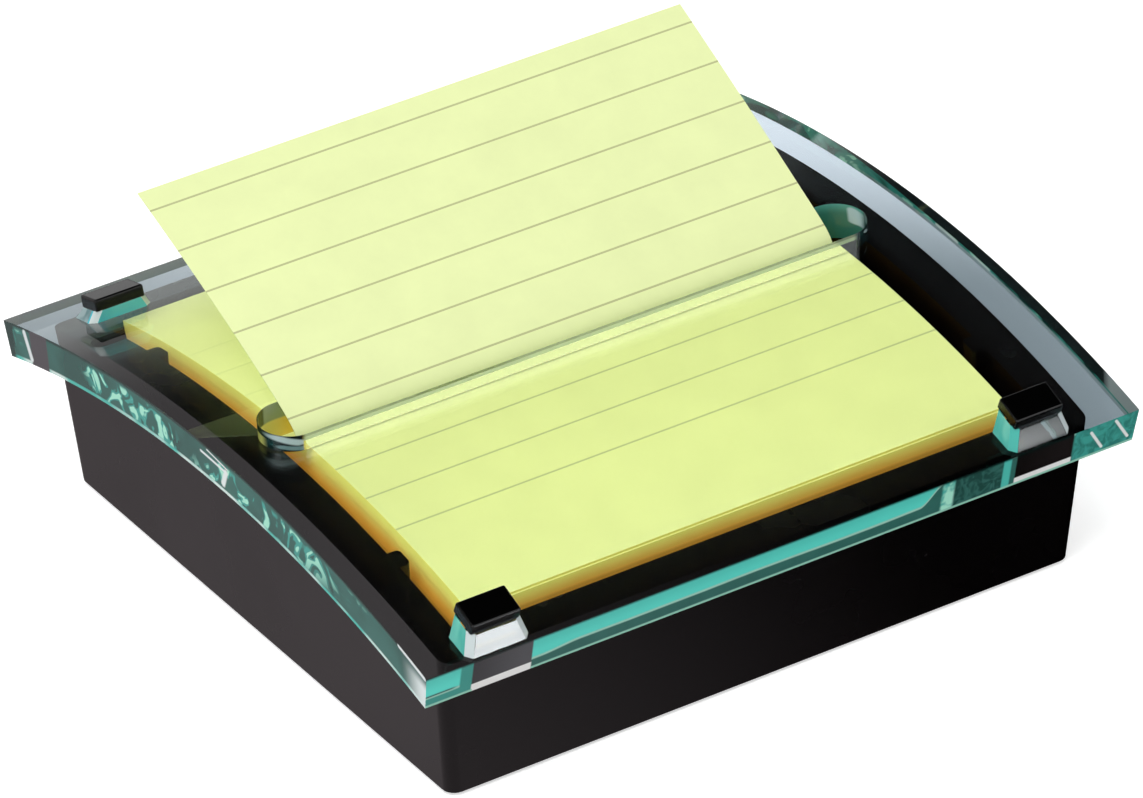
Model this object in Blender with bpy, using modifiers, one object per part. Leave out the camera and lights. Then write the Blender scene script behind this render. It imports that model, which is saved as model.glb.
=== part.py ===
"""Desk dispenser for square pop-up notes: a weighted black base, a note pad and a clear arched top.

Metres, +Z up. The origin is under the middle of the base, on the table.
X runs along the slot, and Y runs from the front to the back.
"""
import math

import bmesh
import bpy
from mathutils import Matrix, Vector
from mathutils.geometry import interpolate_bezier

# Notes
note_size = 0.1016
pad_thick = 0.0090
card_thick = 0.0006
sheet_thick = 0.0003
pad_offset = 0.0012
leaf_out = 0.0438
leaf_lean = math.radians(25.7)
leaf_foot_inset = 0.0061
leaf_foot_gap = 0.0006
leaf_bend = 0.0034

# Fit between pieces
seat_gap = 0.0003
overrun = 0.0020

# Arch shared by the clear top, the rim, the notes and the floor of the well
arch_radius = 0.2253

# Base shell
side_clearance = 0.0042
end_clearance = 0.0026
rim_side_width = 0.0063
rim_end_width = 0.0049
wall_draft_share = 0.083
base_corner = 0.0022
shell_wall = 0.0025
well_corner = 0.0012
cavity_corner = 0.0015
floor_thick = 0.0022
floor_room = 0.0031
rib_width = 0.0036
rib_depth = 0.0021
rib_spacing = 0.0710
rib_root = 0.0010
rib_corner = 0.0008

# Bottom cover, its screws and posts
cover_thick = 0.0028
post_radius = 0.0034
post_spacing_x = 0.0600
post_end_inset = 0.0080
screw_radius = 0.0011
screw_grip = 0.0060
screw_head_radius = 0.0029
screw_head_height = 0.0012
screw_sink = 0.0002
pilot_spare = 0.0010

# Ballast plate
ballast_thick = 0.0050
ballast_clearance = 0.0012
ballast_corner = 0.0030
ballast_post_clearance = 0.0006

# Feet
foot_radius = 0.0050
foot_proud = 0.0006
foot_seat_depth = 0.0013
foot_corner_inset = 0.0085
foot_edge = 0.0004

# Clear top
top_thick = 0.0064
top_side_overhang = 0.0053
top_end_overhang = 0.0055
top_side_taper = 0.0004
top_end_taper = 0.0014
slot_width = 0.0106
slot_end_clearance = 0.0007
slot_shift = -0.0005
tab_length = 0.0070
tab_thick = 0.0008
tab_depth = 0.0030
tab_root = 0.0010
tab_edge = 0.0004

# Corner blocks on the clear top, and their caps
boss_width = 0.0118
boss_depth = 0.0064
boss_height = 0.0040
boss_end_inset = 0.0160
boss_shift = -0.0024
boss_front_inset = 0.0003
boss_back_inset = 0.0086
boss_side_lean = 0.0012
boss_outer_lean = 0.0011
boss_front_drop_share = 0.40
boss_back_drop_share = 0.28
boss_chamfer = 0.0010
boss_root = 0.0003
cap_height = 0.0016
cap_border = 0.0002
cap_lean = 0.0002
cap_edge = 0.0005

# Facets
arch_steps = 40
corner_steps = 6
round_steps = 28
slot_steps = 28
bend_steps = 8
smooth_limit = math.radians(35)
weld_distance = 0.00001

# Stack of curved layers, from the clear top down to the floor of the well
rim_radius = arch_radius - seat_gap
sheet_radius = arch_radius - seat_gap
pad_radius = sheet_radius - sheet_thick - seat_gap
card_radius = pad_radius - pad_thick - seat_gap
floor_radius = card_radius - card_thick - seat_gap
floor_under_radius = floor_radius - floor_thick
top_radius = arch_radius + top_thick

# Plan sizes
note_half = note_size / 2
well_half_x = note_half + side_clearance
well_half_y = note_half + end_clearance
rim_half_x = well_half_x + rim_side_width
rim_half_y = well_half_y + rim_end_width
top_half_x = rim_half_x + top_side_overhang
top_half_y = rim_half_y + top_end_overhang

# Heights
skirt_z = foot_proud
cover_top_z = skirt_z + cover_thick
ballast_low_z = cover_top_z + seat_gap
ballast_top_z = ballast_low_z + ballast_thick
floor_end_z = ballast_top_z + floor_room
arch_centre_z = floor_end_z - math.sqrt(floor_under_radius ** 2 - well_half_y ** 2)
rim_crown_z = arch_centre_z + rim_radius
rim_end_z = arch_centre_z + math.sqrt(rim_radius ** 2 - rim_half_y ** 2)
sky_z = arch_centre_z + top_radius + overrun
pit_z = -overrun

# The walls lean outwards going up, so the base is smaller at its foot
base_half_x = rim_half_x - wall_draft_share * rim_crown_z
base_half_y = rim_half_y - wall_draft_share * rim_end_z
cavity_half_x = base_half_x - shell_wall
cavity_half_y = base_half_y - shell_wall
cover_half_x = cavity_half_x - seat_gap
cover_half_y = cavity_half_y - seat_gap
post_y = cavity_half_y - post_end_inset

# The back lip of the slot carries the popped note, whose foot stands inside the slot
lip_y = slot_shift + slot_width / 2
leaf_foot_y = lip_y - leaf_foot_inset


def arch_z(radius, y):
    """Height of a curved layer at the distance y from the middle."""
    return arch_centre_z + math.sqrt(radius ** 2 - y ** 2)


def four_corners(half_x, half_y):
    """Front left, front right, back left and back right, with their names."""
    for side_y, end in ((-1, "front"), (1, "back")):
        for side_x, side in ((-1, "left"), (1, "right")):
            yield f"{end}_{side}", side_x * half_x, side_y * half_y


def screw_places():
    return four_corners(post_spacing_x / 2, post_y)


def foot_places():
    return four_corners(cover_half_x - foot_corner_inset, cover_half_y - foot_corner_inset)


def block_places():
    for where, x, side in four_corners(top_half_x - boss_end_inset, 1):
        yield where, x + boss_shift, side


def clear_scene():
    for obj in list(bpy.data.objects):
        bpy.data.objects.remove(obj, do_unlink=True)


def make_collection(name):
    collection = bpy.data.collections.new(name)
    bpy.context.scene.collection.children.link(collection)
    return collection


def make_object(name, bm, collection):
    bmesh.ops.recalc_face_normals(bm, faces=bm.faces)
    mesh = bpy.data.meshes.new(name)
    bm.to_mesh(mesh)
    bm.free()
    obj = bpy.data.objects.new(name, mesh)
    collection.objects.link(obj)
    return obj


def make_cutter(name, bm):
    obj = make_object(name, bm, cutters)
    obj.hide_render = True
    obj.display_type = "WIRE"
    return obj


def apply_tool(obj, tool, operation):
    modifier = obj.modifiers.new(tool.name, "BOOLEAN")
    modifier.operation = operation
    modifier.solver = "EXACT"
    modifier.object = tool


def cut(obj, tool):
    apply_tool(obj, tool, "DIFFERENCE")


def join(obj, tool):
    apply_tool(obj, tool, "UNION")


def shade_round(obj):
    obj.data.shade_smooth()
    obj.data.set_sharp_from_angle(angle=smooth_limit)


def add_block(bm, low, high, centre=(0, 0), corner=0):
    """Upright block whose low and high rectangles are given as (half x, half y, z)."""
    made = bmesh.ops.create_cube(bm, size=1)["verts"]
    uprights = set()
    for vert in made:
        half_x, half_y, z = high if vert.co.z > 0 else low
        vert.co = (
            centre[0] + math.copysign(half_x, vert.co.x),
            centre[1] + math.copysign(half_y, vert.co.y),
            z,
        )
    for vert in made:
        for edge in vert.link_edges:
            if abs(edge.verts[0].co.z - edge.verts[1].co.z) > abs(high[2] - low[2]) / 2:
                uprights.add(edge)
    if corner:
        bmesh.ops.bevel(bm, geom=list(uprights), offset=corner, offset_type="OFFSET",
                        segments=corner_steps, profile=0.5, affect="EDGES", material=-1)


def add_rod(bm, x, y, radius, low_z, high_z):
    bmesh.ops.create_cone(
        bm, cap_ends=True, segments=round_steps, radius1=radius, radius2=radius,
        depth=high_z - low_z, matrix=Matrix.Translation((x, y, (low_z + high_z) / 2)))


def arched_solid(half_x, y_low, y_high, top, bottom, taper_x=0, taper_y=0, corner=0):
    """Solid between two heights given as functions of y, drawn in at its foot by the tapers."""
    bm = bmesh.new()
    bmesh.ops.create_grid(bm, x_segments=1, y_segments=arch_steps, size=1)
    middle = (y_low + y_high) / 2
    half_y = (y_high - y_low) / 2
    grown = bmesh.ops.extrude_face_region(bm, geom=bm.faces[:])["geom"]
    foot = {item for item in grown if isinstance(item, bmesh.types.BMVert)}
    uprights = [edge for edge in bm.edges
                if len(foot.intersection(edge.verts)) == 1
                and all(abs(vert.co.y) > 1 - 1 / arch_steps for vert in edge.verts)]
    for vert in bm.verts:
        share = vert.co.copy()
        if vert in foot:
            y = middle + share.y * (half_y - taper_y)
            vert.co = (share.x * (half_x - taper_x), y, bottom(y))
        else:
            y = middle + share.y * half_y
            vert.co = (share.x * half_x, y, top(y))
    if corner:
        bmesh.ops.bevel(bm, geom=uprights, offset=corner, offset_type="OFFSET",
                        segments=corner_steps, profile=0.5, affect="EDGES", material=-1)
    return bm


def turned(name, points, collection):
    """Round piece about Z from (radius, z) points, given from the top down."""
    bm = bmesh.new()
    verts = [bm.verts.new((radius, 0, z)) for radius, z in points]
    for first, second in zip(verts, verts[1:]):
        bm.edges.new((first, second))
    mesh = bpy.data.meshes.new(name)
    bm.to_mesh(mesh)
    bm.free()
    obj = bpy.data.objects.new(name, mesh)
    collection.objects.link(obj)
    screw = obj.modifiers.new("Turn", "SCREW")
    screw.steps = round_steps
    screw.render_steps = round_steps
    screw.use_merge_vertices = True
    screw.merge_threshold = weld_distance
    screw.use_smooth_shade = False
    return obj


def finish(obj, material, carrier=None):
    obj.data.materials.append(material)
    obj.parent = carrier


def make_material(name, colour, roughness, metallic=0.0, transmission=0.0, ior=1.5):
    material = bpy.data.materials.new(name)
    material.use_nodes = True
    shader = material.node_tree.nodes["Principled BSDF"]
    shader.inputs["Base Color"].default_value = (*colour, 1.0)
    shader.inputs["Roughness"].default_value = roughness
    shader.inputs["Metallic"].default_value = metallic
    shader.inputs["Transmission Weight"].default_value = transmission
    shader.inputs["IOR"].default_value = ior
    return material


def base_shell():
    """Drafted black moulding with an arched rim, an arched well, ribs and screw posts."""
    bm = bmesh.new()
    draft_top = wall_draft_share * (sky_z - skirt_z)
    add_block(bm, (base_half_x, base_half_y, skirt_z),
              (base_half_x + draft_top, base_half_y + draft_top, sky_z), corner=base_corner)
    shell = make_object("base_shell", bm, parts)

    cavity = arched_solid(cavity_half_x, -cavity_half_y, cavity_half_y,
                          lambda y: arch_z(floor_under_radius, y), lambda y: pit_z,
                          corner=cavity_corner)
    cut(shell, make_cutter("base_cavity_cutter", cavity))
    well = arched_solid(well_half_x, -well_half_y, well_half_y,
                        lambda y: sky_z + overrun, lambda y: arch_z(floor_radius, y),
                        corner=well_corner)
    cut(shell, make_cutter("base_well_cutter", well))

    ribs = bmesh.new()
    rib_half_x = (rib_depth + rib_root) / 2
    rib_x = well_half_x + rib_root - rib_half_x
    rib_low_z = arch_z(floor_radius, rib_spacing / 2 + rib_width / 2) - rib_root
    for _, x, y in four_corners(rib_x, rib_spacing / 2):
        add_block(ribs, (rib_half_x, rib_width / 2, rib_low_z),
                  (rib_half_x, rib_width / 2, sky_z - overrun), centre=(x, y), corner=rib_corner)
    join(shell, make_cutter("base_ribs_tool", ribs))

    sky = arched_solid(top_half_x + overrun, -top_half_y, top_half_y,
                       lambda y: sky_z + overrun, lambda y: arch_z(rim_radius, y))
    cut(shell, make_cutter("base_rim_cutter", sky))

    posts = bmesh.new()
    pilots = bmesh.new()
    post_top_z = arch_z(floor_under_radius, post_y) + floor_thick / 2
    pilot_top_z = cover_top_z + seat_gap + screw_grip + pilot_spare
    for _, x, y in screw_places():
        add_rod(posts, x, y, post_radius, cover_top_z + seat_gap, post_top_z)
        add_rod(pilots, x, y, screw_radius + seat_gap, pit_z, pilot_top_z)
    join(shell, make_cutter("base_posts_tool", posts))
    cut(shell, make_cutter("base_pilots_cutter", pilots))
    finish(shell, black_plastic)
    return shell


def bottom_cover(shell):
    """Flat cover inside the skirt, with seats for the feet and sunk holes for the screws."""
    bm = bmesh.new()
    add_block(bm, (cover_half_x, cover_half_y, skirt_z), (cover_half_x, cover_half_y, cover_top_z),
              corner=cavity_corner)
    cover = make_object("bottom_cover", bm, parts)
    holes = bmesh.new()
    for _, x, y in screw_places():
        add_rod(holes, x, y, screw_radius + seat_gap, pit_z, cover_top_z + overrun)
    cut(cover, make_cutter("cover_holes_cutter", holes))
    seats = bmesh.new()
    for _, x, y in screw_places():
        add_rod(seats, x, y, screw_head_radius + seat_gap, pit_z,
                skirt_z + screw_sink + screw_head_height + seat_gap)
    for _, x, y in foot_places():
        add_rod(seats, x, y, foot_radius + seat_gap, pit_z, skirt_z + foot_seat_depth)
    cut(cover, make_cutter("cover_seats_cutter", seats))
    finish(cover, cover_plastic, shell)
    return cover


def cover_screws(cover):
    """Four pan-head screws that hold the bottom cover to the posts."""
    head_low_z = skirt_z + screw_sink
    head_top_z = head_low_z + screw_head_height
    tip_z = cover_top_z + seat_gap + screw_grip
    profile = ((0, tip_z), (screw_radius, tip_z - screw_radius), (screw_radius, head_top_z),
               (screw_head_radius, head_top_z), (screw_head_radius, head_low_z), (0, head_low_z))
    for where, x, y in screw_places():
        screw = turned(f"cover_screw_{where}", profile, parts)
        screw.location = (x, y, 0)
        shade_round(screw)
        finish(screw, screw_steel, cover)


def ballast_plate(cover):
    """Steel plate on the cover that gives the base its weight, drilled for the posts."""
    half_x = cavity_half_x - ballast_clearance
    half_y = cavity_half_y - ballast_clearance
    bm = bmesh.new()
    add_block(bm, (half_x, half_y, ballast_low_z), (half_x, half_y, ballast_top_z),
              corner=ballast_corner)
    plate = make_object("ballast_plate", bm, parts)
    holes = bmesh.new()
    for _, x, y in screw_places():
        add_rod(holes, x, y, post_radius + ballast_post_clearance, pit_z, ballast_top_z + overrun)
    cut(plate, make_cutter("ballast_holes_cutter", holes))
    finish(plate, ballast_steel, cover)


def feet(cover):
    """Four rubber discs in the seats of the cover."""
    top_z = skirt_z + foot_seat_depth - seat_gap
    profile = ((0, top_z), (foot_radius, top_z), (foot_radius, foot_edge),
               (foot_radius - foot_edge, 0), (0, 0))
    for where, x, y in foot_places():
        foot = turned(f"foot_{where}", profile, parts)
        foot.location = (x, y, 0)
        shade_round(foot)
        finish(foot, foot_rubber, cover)


def clear_top():
    """Arched clear plate with the slot, four corner blocks and four locating tabs."""
    plate = make_object("clear_top", arched_solid(
        top_half_x, -top_half_y, top_half_y,
        lambda y: arch_z(top_radius, y), lambda y: arch_z(arch_radius, y),
        taper_x=top_side_taper, taper_y=top_end_taper), parts)

    slot = bmesh.new()
    slot_low_z = arch_z(sheet_radius, slot_width)
    middle = Matrix.Translation((0, slot_shift, (slot_low_z + sky_z) / 2))
    round_end = slot_width / 2 / math.cos(math.pi / slot_steps)
    made = bmesh.ops.create_cone(
        slot, cap_ends=True, segments=slot_steps, radius1=round_end, radius2=round_end,
        depth=sky_z - slot_low_z, matrix=middle @ Matrix.Rotation(math.pi / slot_steps, 4, "Z"))
    for vert in made["verts"]:
        vert.co.x += math.copysign(note_half + slot_end_clearance, vert.co.x)
    cut(plate, make_cutter("top_slot_cutter", slot))

    tabs = bmesh.new()
    tab_y = well_half_y - seat_gap - tab_thick / 2
    tab_x = well_half_x - seat_gap - well_corner - tab_length / 2
    tab_top_z = arch_z(arch_radius, tab_y) + tab_root
    tab_low_z = arch_z(arch_radius, tab_y) - tab_depth
    for _, x, y in four_corners(tab_x, tab_y):
        add_block(tabs, (tab_length / 2 - tab_edge, tab_thick / 2, tab_low_z),
                  (tab_length / 2, tab_thick / 2, tab_top_z), centre=(x, y))
    join(plate, make_cutter("top_tabs_tool", tabs))

    blocks = bmesh.new()
    for _, x, side in block_places():
        add_corner_block(blocks, x, side)
    join(plate, make_cutter("top_blocks_tool", blocks))
    finish(plate, clear_acrylic)
    return plate


def block_rows(side):
    """The (y, z) of a corner block's outer and inner foot and top, with y measured outwards."""
    inset, drop_share = ((boss_back_inset, boss_back_drop_share) if side > 0
                         else (boss_front_inset, boss_front_drop_share))
    outer_y = top_half_y - inset
    inner_y = outer_y - boss_depth
    outer_top_y = outer_y - boss_outer_lean
    # The inner edges of all four blocks stand at the same height
    top_z = arch_z(top_radius, top_half_y - boss_front_inset - boss_depth) + boss_height
    return ((outer_y, arch_z(top_radius, outer_y) - boss_root),
            (inner_y, arch_z(top_radius, inner_y) - boss_root),
            Vector((outer_top_y, top_z - drop_share * (outer_top_y - inner_y))),
            Vector((inner_y, top_z)))


def add_corner_block(bm, x, side):
    """Corner block with a leaning outer face and leaning, chamfered sides."""
    outer_foot, inner_foot, outer_top, inner_top = block_rows(side)
    made = bmesh.ops.create_cube(bm, size=1)["verts"]
    upper = {vert for vert in made if vert.co.z > 0}
    for vert in made:
        outer = vert.co.y * side > 0
        if vert in upper:
            y, z = outer_top if outer else inner_top
            half_x = boss_width / 2 - boss_side_lean
        else:
            y, z = outer_foot if outer else inner_foot
            half_x = boss_width / 2
        vert.co = (x + math.copysign(half_x, vert.co.x), side * y, z)
    uprights = {edge for vert in upper for edge in vert.link_edges
                if edge.other_vert(vert) not in upper}
    bmesh.ops.bevel(bm, geom=list(uprights), offset=boss_chamfer, offset_type="OFFSET",
                    segments=1, profile=0.5, affect="EDGES", material=-1)


def caps(plate):
    """Black caps on the corner blocks, tilted with them."""
    half_x = boss_width / 2 - boss_side_lean - cap_border
    for where, x, side in block_places():
        _, _, outer_top, inner_top = block_rows(side)
        middle = (outer_top + inner_top) / 2
        slope = math.atan2(inner_top.y - outer_top.y, outer_top.x - inner_top.x)
        half_y = (outer_top - inner_top).length / 2 - cap_border
        bm = bmesh.new()
        add_block(bm, (half_x, half_y, seat_gap), (half_x - cap_lean, half_y - cap_lean,
                                                   seat_gap + cap_height))
        top_edges = [edge for edge in bm.edges
                     if any(vert.co.z > cap_height / 2 for vert in edge.verts)]
        bmesh.ops.bevel(bm, geom=top_edges, offset=cap_edge, offset_type="OFFSET", segments=2,
                        profile=0.5, affect="EDGES", material=-1)
        cap = make_object(f"cap_{where}", bm, parts)
        cap.location = (x, side * middle.x, middle.y)
        cap.rotation_euler = (-side * slope, 0, 0)
        finish(cap, black_gloss, plate)


def curved_layer(name, radius, thick, y_low, y_high, material, carrier):
    """Layer of paper or card that lies along the arch, with its ends square to the arch."""
    bm = arched_solid(note_half, y_low, y_high, lambda y: arch_z(radius, y),
                      lambda y: arch_z(radius - thick, y), taper_y=thick * note_half / radius)
    finish(make_object(name, bm, parts), material, carrier)


def notes(shell):
    """Backing card, pad and the front half of the top note, stacked in the well."""
    front_y = pad_offset - note_half
    back_y = pad_offset + note_half
    curved_layer("backing_card", card_radius, card_thick, front_y, back_y, grey_card, shell)
    curved_layer("note_pad", pad_radius, pad_thick, front_y, back_y, yellow_paper, shell)
    curved_layer("top_note", sheet_radius, sheet_thick, front_y,
                 leaf_foot_y - seat_gap - sheet_thick / 2, yellow_paper, shell)


def popped_note():
    """Half of the top note that stands out of the slot and rests on its back lip."""
    lip_z = arch_z(top_radius, lip_y)
    stand_off = seat_gap + sheet_thick / 2
    along = Vector((0, math.cos(leaf_lean), math.sin(leaf_lean)))
    square = Vector((0, -along.z, along.y))
    foot = Vector((0, leaf_foot_y, arch_z(sheet_radius, leaf_foot_y) + leaf_foot_gap))
    lip = Vector((0, lip_y, lip_z)) + square * stand_off
    path = interpolate_bezier(foot, foot + Vector((0, 0, leaf_bend)), lip - along * leaf_bend, lip,
                              bend_steps)
    path.append(lip + along * leaf_out)

    bm = bmesh.new()
    row = [bm.verts.new((-note_half, point.y, point.z)) for point in path]
    edges = [bm.edges.new(pair) for pair in zip(row, row[1:])]
    grown = bmesh.ops.extrude_edge_only(bm, edges=edges)["geom"]
    bmesh.ops.translate(bm, vec=(note_size, 0, 0),
                        verts=[item for item in grown if isinstance(item, bmesh.types.BMVert)])
    leaf = make_object("popped_note", bm, parts)
    wall = leaf.modifiers.new("Paper", "SOLIDIFY")
    wall.thickness = sheet_thick
    wall.offset = 0
    wall.use_even_offset = True
    finish(leaf, yellow_paper)


clear_scene()
parts = make_collection("Note dispenser")
cutters = make_collection("Cutters")

black_plastic = make_material("black_plastic", (0.020, 0.016, 0.016), 0.38)
cover_plastic = make_material("cover_plastic", (0.018, 0.018, 0.018), 0.55)
black_gloss = make_material("black_gloss", (0.008, 0.008, 0.008), 0.12)
foot_rubber = make_material("foot_rubber", (0.030, 0.030, 0.030), 0.85)
ballast_steel = make_material("ballast_steel", (0.45, 0.45, 0.46), 0.40, metallic=1.0)
screw_steel = make_material("screw_steel", (0.62, 0.62, 0.60), 0.30, metallic=1.0)
clear_acrylic = make_material("clear_acrylic", (0.86, 0.97, 0.95), 0.02, transmission=1.0, ior=1.49)
yellow_paper = make_material("yellow_paper", (0.78, 0.87, 0.30), 0.80)
grey_card = make_material("grey_card", (0.42, 0.40, 0.36), 0.90)

base = base_shell()
closing = bottom_cover(base)
cover_screws(closing)
ballast_plate(closing)
feet(closing)
caps(clear_top())
notes(base)
popped_note()
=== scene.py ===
"""Desk dispenser for pop-up notes, dressed around the packed CAD frame.

Lengths are in metres. X runs along the slot, Y from the front to the back, and Z up.
"""
import math
import random

import bmesh
import bpy
from mathutils import Matrix, Vector
from mathutils.geometry import interpolate_bezier


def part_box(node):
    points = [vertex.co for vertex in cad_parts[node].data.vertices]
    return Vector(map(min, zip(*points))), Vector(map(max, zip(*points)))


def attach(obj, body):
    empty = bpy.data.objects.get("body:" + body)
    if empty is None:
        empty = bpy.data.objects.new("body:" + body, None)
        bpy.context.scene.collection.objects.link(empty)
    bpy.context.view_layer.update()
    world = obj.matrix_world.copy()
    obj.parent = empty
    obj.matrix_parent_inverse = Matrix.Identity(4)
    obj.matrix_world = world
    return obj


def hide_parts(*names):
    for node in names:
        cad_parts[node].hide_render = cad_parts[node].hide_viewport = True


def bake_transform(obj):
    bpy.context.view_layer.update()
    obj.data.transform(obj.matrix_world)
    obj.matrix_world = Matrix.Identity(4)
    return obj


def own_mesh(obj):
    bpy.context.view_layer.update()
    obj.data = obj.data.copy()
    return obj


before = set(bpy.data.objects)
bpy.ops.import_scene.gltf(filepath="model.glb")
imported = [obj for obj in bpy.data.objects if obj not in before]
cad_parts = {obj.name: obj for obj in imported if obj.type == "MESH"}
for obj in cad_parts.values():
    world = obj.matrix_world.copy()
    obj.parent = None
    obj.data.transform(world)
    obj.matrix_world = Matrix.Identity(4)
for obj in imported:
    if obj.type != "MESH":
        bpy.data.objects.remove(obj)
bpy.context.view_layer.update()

bl_info = {
    "name": "Pop-up Note Dispenser",
    "version": (1, 0, 0),
    "blender": (4, 5, 0),
    "location": "View3D > Sidebar > Note dispenser",
    "description": "Builds a pop-up note dispenser with a clear arched top around its CAD frame",
    "category": "Add Mesh",
}

plate_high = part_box("clear_top")[1]
pad_low, pad_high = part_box("note_pad")
shell_low, shell_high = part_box("base_shell")
leaf_low, leaf_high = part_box("popped_note")
lying_low, lying_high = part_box("top_note")

photo_width, photo_height = 1143, 798
sensor_width = 36.0
# Where the camera's axis meets the photograph, in its pixels
axis_x, axis_y = 567.06, 402.71

# Widths of the strips that bent pieces are cut into
plate_strip, pad_strip, sheet_strip = 0.0013, 0.0026, 0.0015
# Layers of the pad's sides, and how far each may stand in from the side and from the front
pad_layers, layer_step_x, layer_step_y = 26, 0.00005, 0.00006
# Distances below which two points, or a point and a plane, are taken as one
merge_distance, cut_distance, plane_distance, arc_distance = 1e-6, 1e-7, 1e-5, 2e-6
# Angles above which an edge is sharp, and below which two faces are taken as one flat face
sharp_angle, moulded_angle, flat_angle = math.radians(25), math.radians(40), math.radians(0.2)
# Steps along the popped note, in front of the slot's rear lip and behind it, and across it
rise_steps, fall_steps, cross_steps = 20, 28, 24
# How far the popped note's foot stands in, how far the note keeps from the rear lip, and its bow
foot_inset, lip_keep_y, lip_keep_z, leaf_bow = 0.00015, 0.0001, 0.0005, 0.0006
# Handles of the note's curve between the two: upwards from the foot, and back and down from the lip
foot_handle, lip_handle = (0, 0, 0.0031), (0, 0.0050, 0.0027)
# Parts of the note's way from the lip to its free edge at which that curve's handles stand
near_share, far_share = 0.33, 0.66
twist_power = 1.5
layer_seed = 11
# Cosine above which a face follows the arch
arch_share = 0.999
# Cosines above which a face looks along an axis, lies flat, or is slanted
facing_share, flat_share, slant_share = 0.99, 0.8, 0.3
# Shares of the half size outside which a face is the outer side of a block, an edge or the rim
block_share, edge_share, rim_share = 0.8, 0.9, 0.85

floor_size, floor_gap = 4.0, 0.00003
world_strength, horizon_strength, camera_strength = 0.45, 0.75, 1.0
# Heights in the sky at which the horizon's light ends, for gloss and for glass, and where it starts
gloss_horizon, glass_horizon, horizon_foot = 0.50, 0.28, 0.02
lamp_aim = (0, 0, 0.02)
# Each lamp's place, size and watts
lamps = {
    "key_lamp": ((-0.75, -0.35, 1.35), 0.9, 11.6),
    "fill_lamp": ((0.9, -0.9, 0.9), 1.0, 3.5),
    "side_lamp": ((-1.2, -0.20, 0.38), 0.8, 3.0),
}

# Materials of the clear top, in the order of its slots
(FACE, END_EDGE, SIDE_EDGE, BLOCK, CUT, CHAMFER, SLOT, FAR_EDGE) = range(8)

# Clear plastic: its smudges, how it bends light, what its shadow and its depth are tinted with
smudge_scale, smudge_patches, smudge_bump, refraction = 320.0, 70.0, 0.000004, 1.49
shadow_tint, depth_tint, depth_density = (0.93, 0.96, 0.95), (0.20, 0.80, 0.74), 9.0
# Paper: its finish, the bump of its fibres, and the scale, bump and painted glow of the pad's stacked
# edges
paper_roughness, edge_roughness, paper_gloss, fibre_bump = 0.82, 0.85, 0.2, 0.00003
stack_scale, stack_bump, stack_glow = 9000.0, 0.00004, 0.28
# Each grained material's smoothest and roughest finish, grain scale, bump depth and metallic share
finishes = {
    "glossy_cap": (0.10, 0.18, 900.0, 0.000002, 0.0),
    "moulded_base": (0.20, 0.30, 2600.0, 0.00001, 0.0),
    "moulded_cover": (0.50, 0.62, 1800.0, 0.00004, 0.0),
    "rolled_steel": (0.35, 0.50, 900.0, 0.00002, 1.0),
    "foot_rubber_grain": (0.75, 0.90, 1500.0, 0.00005, 0.0),
    "zinc_plate": (0.22, 0.38, 1800.0, 0.00002, 1.0),
}


def length(name, description, default):
    return bpy.props.FloatProperty(
        name=name, description=description, default=default, min=0.0, unit="LENGTH", precision=5)


def colour(name, description, default):
    return bpy.props.FloatVectorProperty(
        name=name, description=description, default=default, min=0.0, max=1.0, size=3,
        subtype="COLOR")


def fraction(name, description, default):
    return bpy.props.FloatProperty(
        name=name, description=description, default=default, min=0.0, max=1.0, subtype="FACTOR")


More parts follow.
